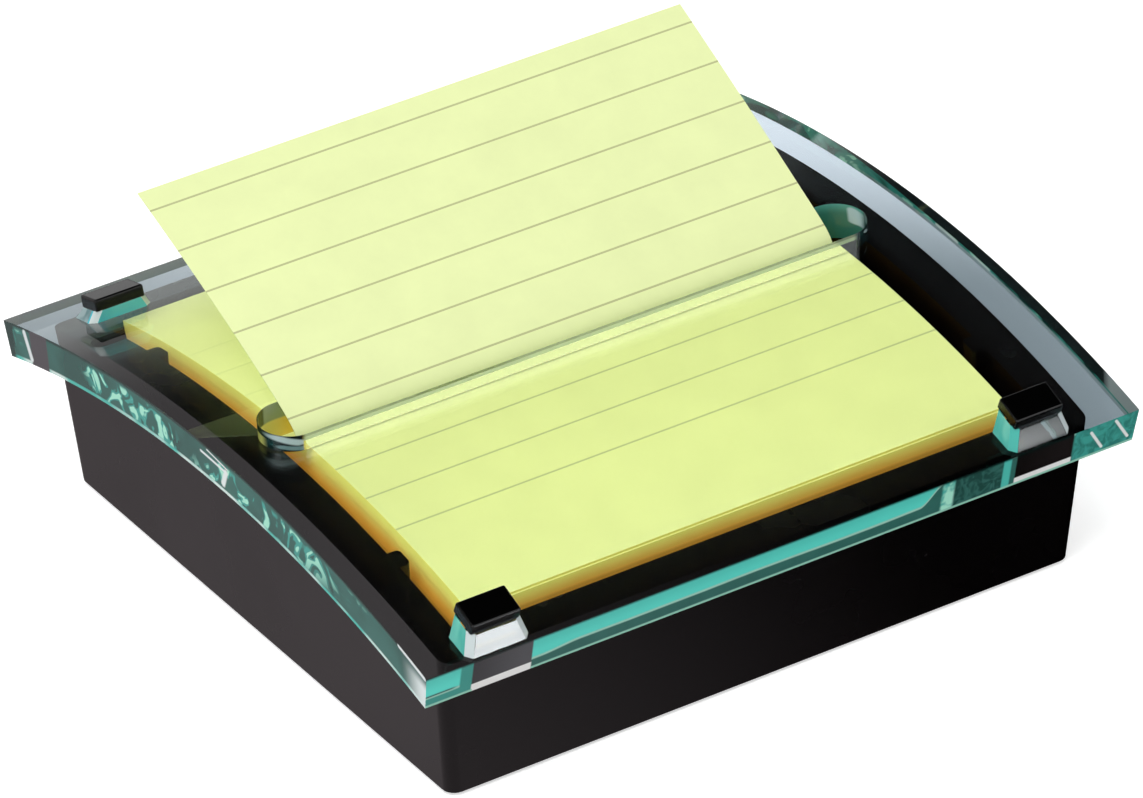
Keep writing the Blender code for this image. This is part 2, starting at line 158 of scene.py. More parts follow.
class NoteTopSettings(bpy.types.PropertyGroup):
    """Sizes and colours of the clear top and its caps."""

    arch_radius: length("Arch radius", "Radius of the underside of the clear top", 0.2253)
    thickness: length("Thickness", "Thickness of the clear top", 0.0064)
    end_taper: length("End taper", "How far the front edge leans in towards its foot", 0.0014)
    side_taper: length("Side taper", "How far the side edges lean in towards their foot", 0.0004)
    edge_bevel: length("Edge bevel", "Width of the small polished bevel on each edge", 0.00026)
    slot_width: length("Slot width", "Width of the slot, front to back", 0.0106)
    slot_reach: length("Slot reach", "From the middle to the centre of a round slot end", 0.0515)
    slot_shift: length("Slot shift", "How far the slot lies in front of the middle", 0.0005)
    tab_length: length("Tab length", "Length of a locating tab", 0.0070)
    tab_thick: length("Tab thickness", "Thickness of a locating tab", 0.0008)
    tab_depth: length("Tab depth", "How far a tab reaches below the clear top", 0.0030)
    tab_x: length("Tab place across", "From the middle to a tab's centre, along the slot", 0.0500)
    tab_y: length("Tab place along", "From the middle to a tab's centre, front to back", 0.0527)
    block_width: length("Block width", "Width of a corner block at its foot", 0.0118)
    block_depth: length("Block depth", "Depth of a corner block at its foot", 0.0064)
    block_height: length("Block height", "Height of a front block's inner side", 0.0040)
    block_inset: length("Block inset", "From the side of the top to a block's middle", 0.0160)
    block_shift: length("Block shift", "How far the blocks sit to the left of the middle", 0.0024)
    front_inset: length("Front inset", "From the front edge to the front blocks", 0.0003)
    back_inset: length("Back inset", "From the back edge to the back blocks", 0.0086)
    front_drop: fraction("Front drop", "Fall of a front block's top towards its outer side", 0.40)
    back_drop: fraction("Back drop", "Fall of a back block's top towards its outer side", 0.28)
    block_side_lean: length("Block side lean", "How far a block narrows on each side", 0.0012)
    block_outer_lean: length("Block outer lean", "How far a block's outer face leans in", 0.0011)
    block_chamfer: length("Block chamfer", "Chamfer on the upright edges of a block", 0.0010)
    cap_height: length("Cap height", "Height of a cap", 0.0019)
    cap_border: length("Cap border", "Rim of clear block left round a cap", 0.0002)
    cap_edge: length("Cap edge", "Rounding on the edges of a cap", 0.0004)
    body_colour: colour("Clear colour", "Tint of the faces of the clear top", (0.985, 1.0, 0.995))
    # The edge glow, edge depth and edge light colours are painted light and shade: the light that the
    # clear plastic carries to its edges, the shade in them, and highlights caught in them. The slot lip
    # and chamfer colours are painted highlights.
    edge_glow_colour: colour("Edge glow", "Bright sea green of the front edge", (0.13, 0.84, 0.72))
    edge_shade_colour: colour("Edge depth", "Dark sea green in the edges", (0.034, 0.135, 0.115))
    edge_highlight_colour: colour("Edge light", "Pale light caught in the edges", (0.46, 0.95, 0.76))
    cut_colour: colour("Cut edges", "Tint of the slot's front wall", (0.82, 0.95, 0.92))
    lip_depth: length("Lip depth", "Height of the pale band along the slot's front lip", 0.0026)
    lip_highlight_colour: colour("Slot lip", "Pale band along the slot's front lip", (0.66, 0.75, 0.50))
    glint_colour: colour("Chamfers", "Colour of the blocks' bright chamfers", (0.86, 0.97, 0.98))
    cap_colour: colour("Cap colour", "Colour of the glossy caps", (0.0005, 0.0005, 0.0005))


class NotePaperSettings(bpy.types.PropertyGroup):
    """Sizes and colours of the notes."""

    sheet: length("Sheet", "Thickness of one note", 0.00014)
    line_spacing: length("Line spacing", "Distance between ruled lines", 0.00873)
    line_width: length("Line width", "Width of a ruled line", 0.00034)
    first_line: length("First line", "From the free edge of a note to its first line", 0.0040)
    header: length("Header", "From the glued edge of a note to its nearest line", 0.0203)
    leaf_lift: length("Leaf lift", "Height of the popped note's middle above the slot's lip", 0.0196)
    flat_foot: length("Flat foot", "From the foot of the popped note to where its twist starts", 0.010)
    twist_back: length("Twist back", "How far the right tip of the note stands forward", 0.0014)
    twist_up: length("Twist up", "How far the right tip of the note stands above its middle", 0.00098)
    corner_fall: length("Corner fall", "How far the free edge sinks as a whole", 0.00028)
    pad_thick: length("Pad thickness", "Thickness of the pad", 0.0090)
    paper_colour: colour("Paper", "Colour of the popped note", (0.83, 0.92, 0.46))
    pad_colour: colour("Pad", "Colour of the notes under the clear top", (0.80, 0.79, 0.31))
    line_colour: colour("Lines", "Lines of the popped note", (0.52, 0.55, 0.27))
    top_line_colour: colour("Top note lines", "Lines of the note under the top", (0.52, 0.53, 0.22))
    pad_line_colour: colour("Pad lines", "Lines of the pad's next note", (0.74, 0.74, 0.28))
    # The pad side colours paint the shade in the well: yellow at the top, painted shade halfway down, and
    # darkest at the foot.
    side_colour: colour("Pad side", "Colour of the stacked sheet edges", (1.0, 0.88, 0.19))
    shade_colour: colour("Pad side, low", "Colour of the sheet edges halfway down", (0.97, 0.42, 0.045))
    foot_colour: colour("Pad foot", "Colour of the sheet edges at the foot", (0.06, 0.018, 0.005))
    card_colour: colour("Card", "Colour of the backing card", (0.40, 0.37, 0.31))


class NoteBaseSettings(bpy.types.PropertyGroup):
    """Sizes and colours of the base and what is under it."""

    edge_round: length("Edge rounding", "Rounding on the edges of the base", 0.0004)
    recess_length: length("Recess length", "Length of each arm pair of a screw's cross recess", 0.0034)
    recess_width: length("Recess width", "Width of the arms of a screw's cross recess", 0.0007)
    recess_depth: length("Recess depth", "Depth of a screw's cross recess", 0.0008)
    shell_colour: colour("Base", "Colour of the moulded base", (0.0014, 0.0008, 0.0009))
    cover_colour: colour("Cover", "Colour of the bottom cover", (0.012, 0.012, 0.012))
    foot_colour: colour("Feet", "Colour of the rubber feet", (0.030, 0.030, 0.031))
    screw_colour: colour("Screws", "Colour of the zinc-plated screws", (0.62, 0.62, 0.59))
    ballast_colour: colour("Ballast", "Colour of the steel ballast plate", (0.42, 0.42, 0.43))


class NoteStageSettings(bpy.types.PropertyGroup):
    """Camera, lights and floor."""

    distance: length("Distance", "From the middle of the dispenser to the camera", 1.650)
    target_height: length("Target height", "Height that the camera looks at", 0.02215)
    azimuth: bpy.props.FloatProperty(
        name="Azimuth", description="Turn of the camera round the dispenser",
        default=math.radians(-31.98), subtype="ANGLE")
    elevation: bpy.props.FloatProperty(
        name="Elevation", description="Height of the camera above the horizon",
        default=math.radians(32.13), subtype="ANGLE")
    roll: bpy.props.FloatProperty(
        name="Roll", description="Roll of the camera about its own axis",
        default=math.radians(-1.8), subtype="ANGLE")
    lens: bpy.props.FloatProperty(
        name="Lens", description="Focal length in millimetres", default=325.25, min=1.0)
    floor_colour: colour("Floor", "Colour of the pale floor", (0.82, 0.82, 0.82))
    # Floor behind and in front are the floor as seen through the clear top, with painted shade in front.
    far_colour: colour("Floor behind", "Colour of the floor seen through the back", (0.96, 0.99, 1.0))
    near_shade_colour: colour("Floor in front", "Colour of the floor seen through the front", (0.36, 0.42, 0.48))
    sky_colour: colour("Sky", "Colour of the soft light all round", (1.0, 1.0, 1.0))


def node_tree_of(material):
    material.use_nodes = True
    return material.node_tree


def add_node(tree, kind, values=(), **attributes):
    """Adds a shader node, sets its attributes, and sets input values by socket name or number."""
    node = tree.nodes.new(kind)
    for key, value in attributes.items():
        setattr(node, key, value)
    for key, value in dict(values).items():
        node.inputs[key].default_value = value
    return node


def opaque(rgb):
    return (*rgb, 1.0)


def scaled(rgb, share):
    """A colour made darker, or lighter up to white."""
    return tuple(min(1.0, channel * share) for channel in rgb)


def put(tree, value, socket):
    """Links a socket to an input, or sets a plain value on the input."""
    if isinstance(value, bpy.types.NodeSocket):
        tree.links.new(value, socket)
    else:
        socket.default_value = value


def maths(tree, operation, first, second=0.0):
    """Result of a Math node. Each operand is a number or a socket."""
    node = add_node(tree, "ShaderNodeMath", operation=operation)
    put(tree, first, node.inputs[0])
    put(tree, second, node.inputs[1])
    return node.outputs[0]


def times(tree, first, second):
    """Product of two values, or the mask of where two masks meet."""
    return maths(tree, "MULTIPLY", first, second)


def object_place(tree):
    return add_node(tree, "ShaderNodeTexCoord").outputs["Object"]


def separated(tree, vector):
    """The X, Y and Z of a vector, by name."""
    split = add_node(tree, "ShaderNodeSeparateXYZ")
    tree.links.new(vector, split.inputs[0])
    return split.outputs


def vector_maths(tree, operation, first, second, output="Vector"):
    node = add_node(tree, "ShaderNodeVectorMath", operation=operation)
    put(tree, first, node.inputs[0])
    put(tree, second, node.inputs[1])
    return node.outputs[output]


def ranged(tree, value, low, high, to_low=0.0, to_high=1.0, kind="LINEAR"):
    """Brings the range from low to high to that from to_low to to_high. Each is a number or a socket."""
    node = add_node(tree, "ShaderNodeMapRange", interpolation_type=kind)
    for label, given in (("Value", value), ("From Min", low), ("From Max", high),
                         ("To Min", to_low), ("To Max", to_high)):
        put(tree, given, node.inputs[label])
    return node.outputs["Result"]


def rising(tree, value, low, high):
    """0 below low and 1 above high, or the other way round if low is the greater."""
    return ranged(tree, value, low, high, kind="SMOOTHSTEP")


def between(tree, value, low, high, soft):
    """1 from low to high, with soft ends."""
    return times(tree, rising(tree, value, low - soft, low + soft),
                 rising(tree, value, high + soft, high - soft))


def blend(tree, factor, first, second, blend_type="MIX"):
    """Mix of two colours, each a socket or an RGB triple."""
    mix = add_node(tree, "ShaderNodeMix", data_type="RGBA", blend_type=blend_type)
    put(tree, factor, mix.inputs["Factor"])
    for index, value in ((6, first), (7, second)):
        put(tree, value if isinstance(value, bpy.types.NodeSocket) else opaque(value),
            mix.inputs[index])
    return mix.outputs[2]


def layered(tree, tint, *layers):
    """Lays colours over a first one. Each layer is a mask and a colour."""
    for mask, rgb in layers:
        tint = blend(tree, mask, tint, rgb)
    return tint


def noise(tree, vector, scale, detail=2.0, distortion=0.0, roughness=0.5):
    node = add_node(tree, "ShaderNodeTexNoise",
                    {"Detail": detail, "Distortion": distortion, "Roughness": roughness})
    put(tree, vector, node.inputs["Vector"])
    put(tree, scale, node.inputs["Scale"])
    return node.outputs["Fac"]


def shared_group(name, inputs, outputs, fill):
    """Shader node group that several materials use, built on its first use.

    inputs holds its float or vector inputs with their defaults, and outputs the names of its
    float outputs. fill(group, given) makes its nodes and returns the sockets for the outputs.
    """
    group = bpy.data.node_groups.get(name)
    if group:
        return group
    group = bpy.data.node_groups.new(name, "ShaderNodeTree")
    for label, default in inputs.items():
        kind = "NodeSocketVector" if isinstance(default, tuple) else "NodeSocketFloat"
        socket = group.interface.new_socket(label, in_out="INPUT", socket_type=kind)
        socket.default_value = default
    for label in outputs:
        group.interface.new_socket(label, in_out="OUTPUT", socket_type="NodeSocketFloat")
    given = group.nodes.new("NodeGroupInput").outputs
    results = group.nodes.new("NodeGroupOutput").inputs
    for label, socket in zip(outputs, fill(group, given)):
        group.links.new(socket, results[label])
    return group


def add_group(tree, group, values=()):
    return add_node(tree, "ShaderNodeGroup", values, node_tree=group)


def grain_group():
    """Fine moulded grain: a height for Bump, a roughness that changes slowly, and its patches."""
    def fill(group, given):
        place = object_place(group)
        fine = noise(group, place, given["Grain scale"], 2.0, roughness=0.6)
        broad = noise(group, place, given["Patch scale"], 3.0, roughness=0.55)
        return fine, ranged(group, broad, 0.3, 0.7, given["Smooth"], given["Rough"]), broad

    return shared_group(
        "Moulded grain", {"Grain scale": 2200.0, "Patch scale": 45.0, "Smooth": 0.3, "Rough": 0.4},
        ("Height", "Roughness", "Patch"), fill)


def fibre_group():
    """Paper fibres: a cloudy tint mask and a fine height."""
    def fill(group, given):
        place = object_place(group)
        stretch = add_node(group, "ShaderNodeMapping", {"Scale": (0.35, 1.0, 1.0)})
        group.links.new(place, stretch.inputs["Vector"])
        cloud = noise(group, place, given["Cloud scale"], 5.0, roughness=0.62)
        fibre = noise(group, stretch.outputs["Vector"], given["Fibre scale"], 3.0, roughness=0.7)
        return ranged(group, cloud, 0.32, 0.68), fibre

    return shared_group("Paper fibres", {"Cloud scale": 110.0, "Fibre scale": 1500.0},
                        ("Cloud", "Height"), fill)


def ruled_group():
    """Ruled lines across a note. The UV map's V counts line spacings, with a line at each whole one."""
    def fill(group, given):
        sheet = add_node(group, "ShaderNodeUVMap", uv_map="Sheet").outputs["UV"]
        shifted = maths(group, "ADD", separated(group, sheet)["Y"], 0.5)
        away = maths(group, "ABSOLUTE", maths(group, "SUBTRACT", maths(group, "FRACT", shifted), 0.5))
        near = maths(group, "LESS_THAN", away, times(group, given["Width share"], 0.5))
        inside = times(group, maths(group, "GREATER_THAN", shifted, 0.0),
                       maths(group, "LESS_THAN", shifted, given["Lines"]))
        return (times(group, near, inside),)

    return shared_group("Ruled lines", {"Width share": 0.04, "Lines": 10.0}, ("Mask",), fill)


def arch_group():
    """Where a point lies on a curved layer.

    Gives its X, its Y, its height above the layer's inner radius, and that height's share of the depth.
    """
    def fill(group, given):
        place = separated(group, object_place(group))
        above = maths(group, "SUBTRACT", place["Z"], given["Centre"])
        reach = maths(group, "SQRT", maths(
            group, "ADD", times(group, above, above), times(group, place["Y"], place["Y"])))
        height = maths(group, "SUBTRACT", reach, given["Radius"])
        return place["X"], place["Y"], height, maths(group, "DIVIDE", height, given["Depth"])

    return shared_group("Place on arch", {"Centre": 0.0, "Radius": 0.2, "Depth": 0.01},
                        ("X", "Y", "Height", "Share"), fill)


def stroke_group():
    """Mask of a straight stroke from Start to End in the plane of Place."""
    def fill(group, given):
        offset = vector_maths(group, "SUBTRACT", given["Place"], given["Start"])
        span = vector_maths(group, "SUBTRACT", given["End"], given["Start"])
        along = maths(group, "DIVIDE", vector_maths(group, "DOT_PRODUCT", offset, span, "Value"),
                      vector_maths(group, "DOT_PRODUCT", span, span, "Value"))
        held = maths(group, "MINIMUM", maths(group, "MAXIMUM", along, 0.0), 1.0)
        foot = add_node(group, "ShaderNodeVectorMath", operation="SCALE")
        group.links.new(span, foot.inputs[0])
        group.links.new(held, foot.inputs["Scale"])
        away = vector_maths(group, "DISTANCE", offset, foot.outputs["Vector"], "Value")
        core, rim = (times(group, given["Width"], share) for share in (0.3, 0.7))
        return (ranged(group, away, core, rim, 1.0, 0.0, "SMOOTHSTEP"),)

    origin = (0.0, 0.0, 0.0)
    return shared_group("Stroke", {"Place": origin, "Start": origin, "End": (0.01, 0.0, 0.0),
                                   "Width": 0.0005}, ("Mask",), fill)


def new_material(name):
    """A material with its tree and Principled shader. The last two are None if it existed before."""
    material = bpy.data.materials.get(name)
    if material:
        return material, None, None
    material = bpy.data.materials.new(name)
    tree = node_tree_of(material)
    return material, tree, tree.nodes["Principled BSDF"]


def set_shader(shader, **values):
    for key, value in values.items():
        shader.inputs[key.replace("_", " ")].default_value = value


def add_bump(tree, shader, height, strength, distance):
    bump = add_node(tree, "ShaderNodeBump", {"Strength": strength, "Distance": distance})
    tree.links.new(height, bump.inputs["Height"])
    tree.links.new(bump.outputs["Normal"], shader.inputs["Normal"])


def grained(name, rgb):
    """Moulded plastic, rubber or metal with fine grain and a finish that changes slowly."""
    smooth, rough, grain_scale, bump, metallic = finishes[name]
    material, tree, shader = new_material(name)
    if tree:
        grain = add_group(tree, grain_group(),
                          {"Grain scale": grain_scale, "Smooth": smooth, "Rough": rough})
        tree.links.new(blend(tree, grain.outputs["Patch"], rgb, scaled(rgb, 1.25)),
                       shader.inputs["Base Color"])
        tree.links.new(grain.outputs["Roughness"], shader.inputs["Roughness"])
        add_bump(tree, shader, grain.outputs["Height"], 0.5, bump)
        set_shader(shader, Metallic=metallic)
    return material


def mix_shaders(tree, factor, first, second):
    """Gives the surface a mix of two shaders."""
    mix = add_node(tree, "ShaderNodeMixShader")
    for index, socket in enumerate((factor, first.outputs[0], second.outputs[0])):
        tree.links.new(socket, mix.inputs[index])
    tree.links.new(mix.outputs[0], tree.nodes["Material Output"].inputs["Surface"])


def pass_light(tree, shader, rgb):
    """Lets lamp light through a surface, tinted, so that it throws no full shadow."""
    pane = add_node(tree, "ShaderNodeBsdfTransparent", {"Color": opaque(rgb)})
    mix_shaders(tree, add_node(tree, "ShaderNodeLightPath").outputs["Is Shadow Ray"], shader, pane)


def clear_plastic(name, top, smooth, rough, transmission, tint):
    """Clear plastic that lets lamps through. tint is a colour, or a function that paints one."""
    material, tree, shader = new_material(name)
    if tree:
        smudges = add_group(tree, grain_group(), {
            "Grain scale": smudge_scale, "Patch scale": smudge_patches,
            "Smooth": smooth, "Rough": rough})
        tree.links.new(smudges.outputs["Roughness"], shader.inputs["Roughness"])
        add_bump(tree, shader, smudges.outputs["Height"], 0.2, smudge_bump)
        put(tree, tint(tree, top) if callable(tint) else opaque(tint), shader.inputs["Base Color"])
        set_shader(shader, IOR=refraction, Transmission_Weight=transmission)
        pass_light(tree, shader, shadow_tint)
        haze = add_node(tree, "ShaderNodeVolumeAbsorption",
                        {"Color": opaque(depth_tint), "Density": depth_density})
        tree.links.new(haze.outputs[0], tree.nodes["Material Output"].inputs["Volume"])
    return material


def place_on_plate(tree, top):
    """X, Y, height above the underside and share of the thickness, for a point of the clear top."""
    place = add_group(tree, arch_group(), {
        "Centre": arch_centre(top), "Radius": top.arch_radius, "Depth": top.thickness})
    return tuple(place.outputs[key] for key in ("X", "Y", "Height", "Share"))


def strokes(tree, along, height, pieces):
    """Mask of several strokes, each given as (start along, start height, end along, end height, width)."""
    place = add_node(tree, "ShaderNodeCombineXYZ")
    tree.links.new(along, place.inputs[0])
    tree.links.new(height, place.inputs[1])
    total = 0.0
    for start_x, start_y, end_x, end_y, width in pieces:
        stroke = add_group(tree, stroke_group(), {
            "Start": (start_x, start_y, 0.0), "End": (end_x, end_y, 0.0), "Width": width})
        tree.links.new(place.outputs[0], stroke.inputs["Place"])
        total = maths(tree, "MAXIMUM", total, stroke.outputs["Mask"])
    return total


# In the paints below, which paint the light and shade seen in the clear top's edges, blocks and slot
# walls, places count from the middle and heights from the underside, in metres, and a share runs from 0 at
# the underside to 1 at the upper face.
def end_edge_tint(tree, top):
    """Front edge, painted with the light and shade seen in it: a bright band over a dark one, with dark
    panes of painted shade under the blocks.
    """
    x, _, height, share = place_on_plate(tree, top)
    place = object_place(tree)
    teal, deep, mint = top.edge_glow_colour, top.edge_shade_colour, top.edge_highlight_colour
    band_climb, band_fall = (-0.038, -0.0455), (0.0250, 0.0294)
    light_pane, patchy_pane, teal_pane = (0.0291, 0.0314), (0.0310, 0.0410), (0.0407, 0.0422)
    left_end, left_pane, left_shade_line = (-0.0590, -0.0600), (-0.0602, -0.0578), (-0.0600, -0.0620)
    right_end, foot_gap = (0.0540, 0.0546), (-0.0578, -0.0471)
    sway_share, climb_share, fall_share = 0.12, 0.10, 0.55

    sway = times(tree, maths(tree, "SUBTRACT", noise(tree, place, 45.0, 1.0), 0.5), sway_share)
    climb = times(tree, rising(tree, x, *band_climb), climb_share)
    fall = times(tree, rising(tree, x, *band_fall), fall_share)
    level = maths(tree, "ADD", maths(tree, "ADD", share, sway), climb)
    level = maths(tree, "SUBTRACT", level, fall)
    band = blend(tree, rising(tree, share, 0.5, 0.9), teal, scaled(teal, 0.86))
    crest = tuple(0.1 + channel * 0.7 for channel in mint)
    mottle = rising(tree, noise(tree, place, 420.0, 2.0, 1.5), 0.38, 0.66)
    light_flecks = rising(tree, noise(tree, place, 500.0), 0.4, 0.6)
    # Painted light and shade: a dark ground, a bright band of painted light with a pale crest, and panes
    # of painted shade and light along the edge
    tint = layered(
        tree, blend(tree, noise(tree, place, 260.0, 3.0), deep, scaled(deep, 1.5)),
        (rising(tree, x, *left_end), scaled(teal, 0.42)),
        (rising(tree, level, 0.40, 0.48), band),
        (between(tree, level, 0.395, 0.465, 0.03), crest),
        (between(tree, x, *patchy_pane, 0.0006),
         blend(tree, mottle, scaled(deep, 0.6), scaled(deep, 1.2))),
        (between(tree, x, *light_pane, 0.0003), blend(tree, light_flecks, scaled(teal, 0.6), mint)),
        (between(tree, x, *teal_pane, 0.0002), scaled(teal, 0.75)),
        (between(tree, x, *left_pane, 0.0002), scaled(teal, 0.42)),
        (times(tree, rising(tree, x, *left_shade_line), between(tree, share, 0.33, 0.38, 0.03)),
         scaled(deep, 0.8)),
        (rising(tree, x, *right_end), blend(tree, mottle, scaled(teal, 0.30), scaled(teal, 0.5))))

    # Painted shade under each block: a dark pane, darker towards its left, with a painted lit strip along
    # its foot
    under_block = top.block_width / 2
    for side_x, grey in ((-1, (0.10, 0.10, 0.11)), (1, (0.015, 0.012, 0.012))):
        left, right = (block_middle_x(top, side_x) + sign * under_block for sign in (-1, 1))
        pane = layered(
            tree, blend(tree, rising(tree, x, right, left), grey, scaled(grey, 0.5)),
            (rising(tree, height, 0.0016, 0.0014), (1.0, 0.99, 0.98)))
        tint = blend(tree, between(tree, x, left + 0.0009, right, 0.00015), tint, pane)

    # Painted highlights: two pale streaks and a pale line along the foot, and a dark line of painted shade
    # along the top
    lines = strokes(tree, x, height, (
        (0.0575, 0.0052, 0.0600, 0.0012, 0.0005), (0.0622, 0.0058, 0.0650, 0.0014, 0.0005)))
    foot = times(tree, rising(tree, height, 0.0006, 0.0004),
                 rising(tree, between(tree, x, *foot_gap, 0.0001), 1.0, 0.0))
    brow = times(tree, rising(tree, share, 0.88, 0.99), rising(tree, x, 0.0540, 0.0530))
    return layered(tree, tint, (lines, (0.95, 1.0, 0.98)), (foot, scaled(mint, 0.75)),
                   (brow, (0.003, 0.016, 0.014)))


def side_edge_tint(tree, top):
    """Left edge, painted with light and shade: sea green with patches of caught light, and a pale painted
    highlight along the foot.
    """
    _, y, height, share = place_on_plate(tree, top)
    place = object_place(tree)
    teal, deep = top.edge_glow_colour, top.edge_shade_colour
    front_end, back_end, clear_pane = (-0.0560, -0.0625), (0.0600, 0.0615), (0.0500, 0.0555)

    clouds = noise(tree, place, 190.0, 1.5, 1.8)
    reach = times(tree, rising(tree, noise(tree, place, 34.0, 0.0), 0.40, 0.50),
                  between(tree, share, 0.10, 0.84, 0.06))
    foot = blend(tree, rising(tree, noise(tree, place, 120.0, 1.0), 0.38, 0.62),
                 scaled(teal, 0.7), (0.80, 0.98, 0.93))
    lines = strokes(tree, y, height, (
        (0.0020, 0.0046, -0.0055, 0.0044, 0.0005), (-0.0055, 0.0044, -0.0042, 0.0016, 0.0011),
        (0.0000, 0.0058, -0.0060, 0.0052, 0.0003), (0.0572, 0.0056, 0.0556, 0.0010, 0.0010),
        (-0.0560, 0.0062, -0.0632, 0.0060, 0.0007)))
    # Painted light and shade: a dark ground with patches of painted light, a dark top, a pale highlight
    # along the foot, pale streaks, and painted light and shade at the ends
    return layered(
        tree, blend(tree, rising(tree, noise(tree, place, 60.0, 3.0), 0.35, 0.65),
                    scaled(deep, 0.8), scaled(deep, 1.3)),
        (times(tree, rising(tree, clouds, 0.490, 0.530), reach), scaled(teal, 0.5)),
        (times(tree, rising(tree, clouds, 0.575, 0.600), reach), top.edge_highlight_colour),
        (rising(tree, share, 0.90, 0.97), scaled(deep, 0.35)),
        (rising(tree, height, 0.0008, 0.0005), foot),
        (times(tree, rising(tree, y, *front_end), rising(tree, share, 0.95, 0.55)),
         (0.86, 0.95, 0.95)),
        (between(tree, y, *clear_pane, 0.0003), (0.085, 0.08, 0.09)),
        (rising(tree, y, *back_end), scaled(deep, 0.4)),
        (lines, (0.90, 0.96, 0.97)))


def block_tint(tree, top):
    """Sides of the corner blocks, painted with the light seen in them: sea green with paler patches of
    painted light, and bluer at the back.
    """
    _, y, _, _ = place_on_plate(tree, top)
    teal = top.edge_glow_colour
    cloud = noise(tree, object_place(tree), 240.0, 1.0, 0.8)
    front = blend(tree, rising(tree, cloud, 0.3, 0.7), scaled(teal, 0.75),
                  blend(tree, 0.4, teal, top.edge_highlight_colour))
    sides = blend(tree, rising(tree, cloud, 0.4, 0.6), (0.22, 0.40, 0.42), (0.50, 0.68, 0.70))
    inner_y = plate_high.y - top.back_inset - top.block_depth
    back = blend(tree, rising(tree, y, inner_y + 0.0012, inner_y + 0.0016), (0.12, 0.80, 0.95), sides)
    return blend(tree, rising(tree, y, 0.0, 0.001), front, back)


def chamfer_tint(tree, top):
    """Chamfers of the blocks: a pale painted glint, but sea green on the right blocks' left sides."""
    x, _, _, _ = place_on_plate(tree, top)
    middle = block_middle_x(top, 1)
    return blend(tree, between(tree, x, middle - top.block_width, middle, 0.0001),
                 top.glint_colour, scaled(top.edge_glow_colour, 0.8))


def slot_tint(tree, top):
    """Slot walls, painted with the light and shade seen in them: a pale band of painted highlight along
    the front lip, olive and grey painted shade over a painted reflection of the note on the left, and teal
    with a painted highlight on the right.
    """
    x, y, height, _ = place_on_plate(tree, top)
    place = object_place(tree)
    lip_shadow_z = top.thickness - top.lip_depth * 0.42
    note_fade, note_top, sides = (-0.0535, -0.0480), (0.0036, 0.0032), (-0.010, 0.010)
    # The pale lip band is a painted highlight, under a patchy line of painted shadow along its top
    shadow_patches = rising(tree, noise(tree, place, 38.0, 1.0), 0.45, 0.70)
    lip_shadow = blend(tree, shadow_patches, scaled(top.lip_highlight_colour, 0.5), (0.10, 0.15, 0.045))
    lip = blend(tree, rising(tree, height, lip_shadow_z - 0.0003, lip_shadow_z + 0.0002), top.lip_highlight_colour, lip_shadow)

    # On the left, olive and grey painted shade over a painted reflection of the yellow note; on the right,
    # teal with a painted highlight
    end_x = top.slot_reach + top.slot_width * 0.22
    grey = blend(tree, rising(tree, x, -end_x, 0.0006 - end_x), (0.035, 0.060, 0.016),
                 (0.36, 0.44, 0.27))
    note = blend(tree, rising(tree, x, *note_fade), (1.0, 0.88, 0.24), (0.95, 0.62, 0.10))
    left = blend(tree, rising(tree, height, *note_top), grey, note)
    glint = strokes(tree, x, height, ((0.0565, 0.0036, 0.0564, 0.0056, 0.0009),))
    right = layered(tree, (0.040, 0.19, 0.16),
                    (rising(tree, height, 0.0045, 0.0064), (0.09, 0.36, 0.31)),
                    (glint, (0.50, 0.66, 0.72)))
    back = blend(tree, rising(tree, x, *sides), left, right)

    # In front, dark painted shade with pale painted crescents of highlight
    arcs = strokes(tree, x, height, (
        (-0.0557, 0.0050, -0.0530, 0.0034, 0.0021), (0.0545, 0.0045, 0.0562, 0.0022, 0.0008)))
    faint = strokes(tree, x, height, ((-0.0552, 0.0016, -0.0516, 0.0008, 0.0015),))
    middle = rising(tree, maths(tree, "ABSOLUTE", x), top.slot_reach + 0.0012, top.slot_reach)
    front = layered(tree, (0.004, 0.012, 0.013),
                    (rising(tree, noise(tree, place, 300.0), 0.35, 0.65), (0.016, 0.060, 0.060)),
                    (faint, (0.26, 0.40, 0.42)), (arcs, (0.80, 0.92, 0.94)), (middle, lip))
    return blend(tree, rising(tree, y, -0.0020, 0.0), front, back)


def far_edge_tint(tree, top):
    """Right and back edges, painted with the light and shade seen in them: sea green at the back, and a
    thin green line under a band of painted shade in front.
    """
    _, y, height, _ = place_on_plate(tree, top)
    teal = top.edge_glow_colour
    front_end, back_end, band_stretch = (-0.0535, -0.0560), (0.0605, 0.0615), (-0.012, 0.034)
    light_streaks = noise(tree, object_place(tree), 130.0, 2.0, 1.2)
    line_top = maths(tree, "ADD", 0.0020, times(tree, rising(tree, y, *band_stretch), 0.0046))
    above = rising(tree, maths(tree, "SUBTRACT", height, line_top), -0.0001, 0.0003)
    lines = strokes(tree, y, height, (
        (-0.0080, 0.0017, -0.0135, 0.0015, 0.0009), (-0.0185, 0.0016, -0.0225, 0.0015, 0.0006)))
    # Painted light and shade: dark with patches of painted light, a dark band above the green line, pale
    # marks at the foot and the front, pale streaks, and dark at the back end
    return layered(
        tree, scaled(teal, 0.10),
        (rising(tree, light_streaks, 0.40, 0.58), scaled(teal, 0.42)),
        (rising(tree, light_streaks, 0.63, 0.68), top.edge_highlight_colour),
        (above, (0.016, 0.022, 0.024)),
        (times(tree, rising(tree, height, 0.0014, 0.0011), rising(tree, y, 0.02, 0.0)),
         (0.42, 0.48, 0.54)),
        (times(tree, rising(tree, y, *front_end), rising(tree, height, 0.0016, 0.0020)),
         (0.50, 0.54, 0.56)),
        (lines, (0.90, 0.97, 0.97)),
        (rising(tree, y, *back_end), (0.035, 0.11, 0.12)))


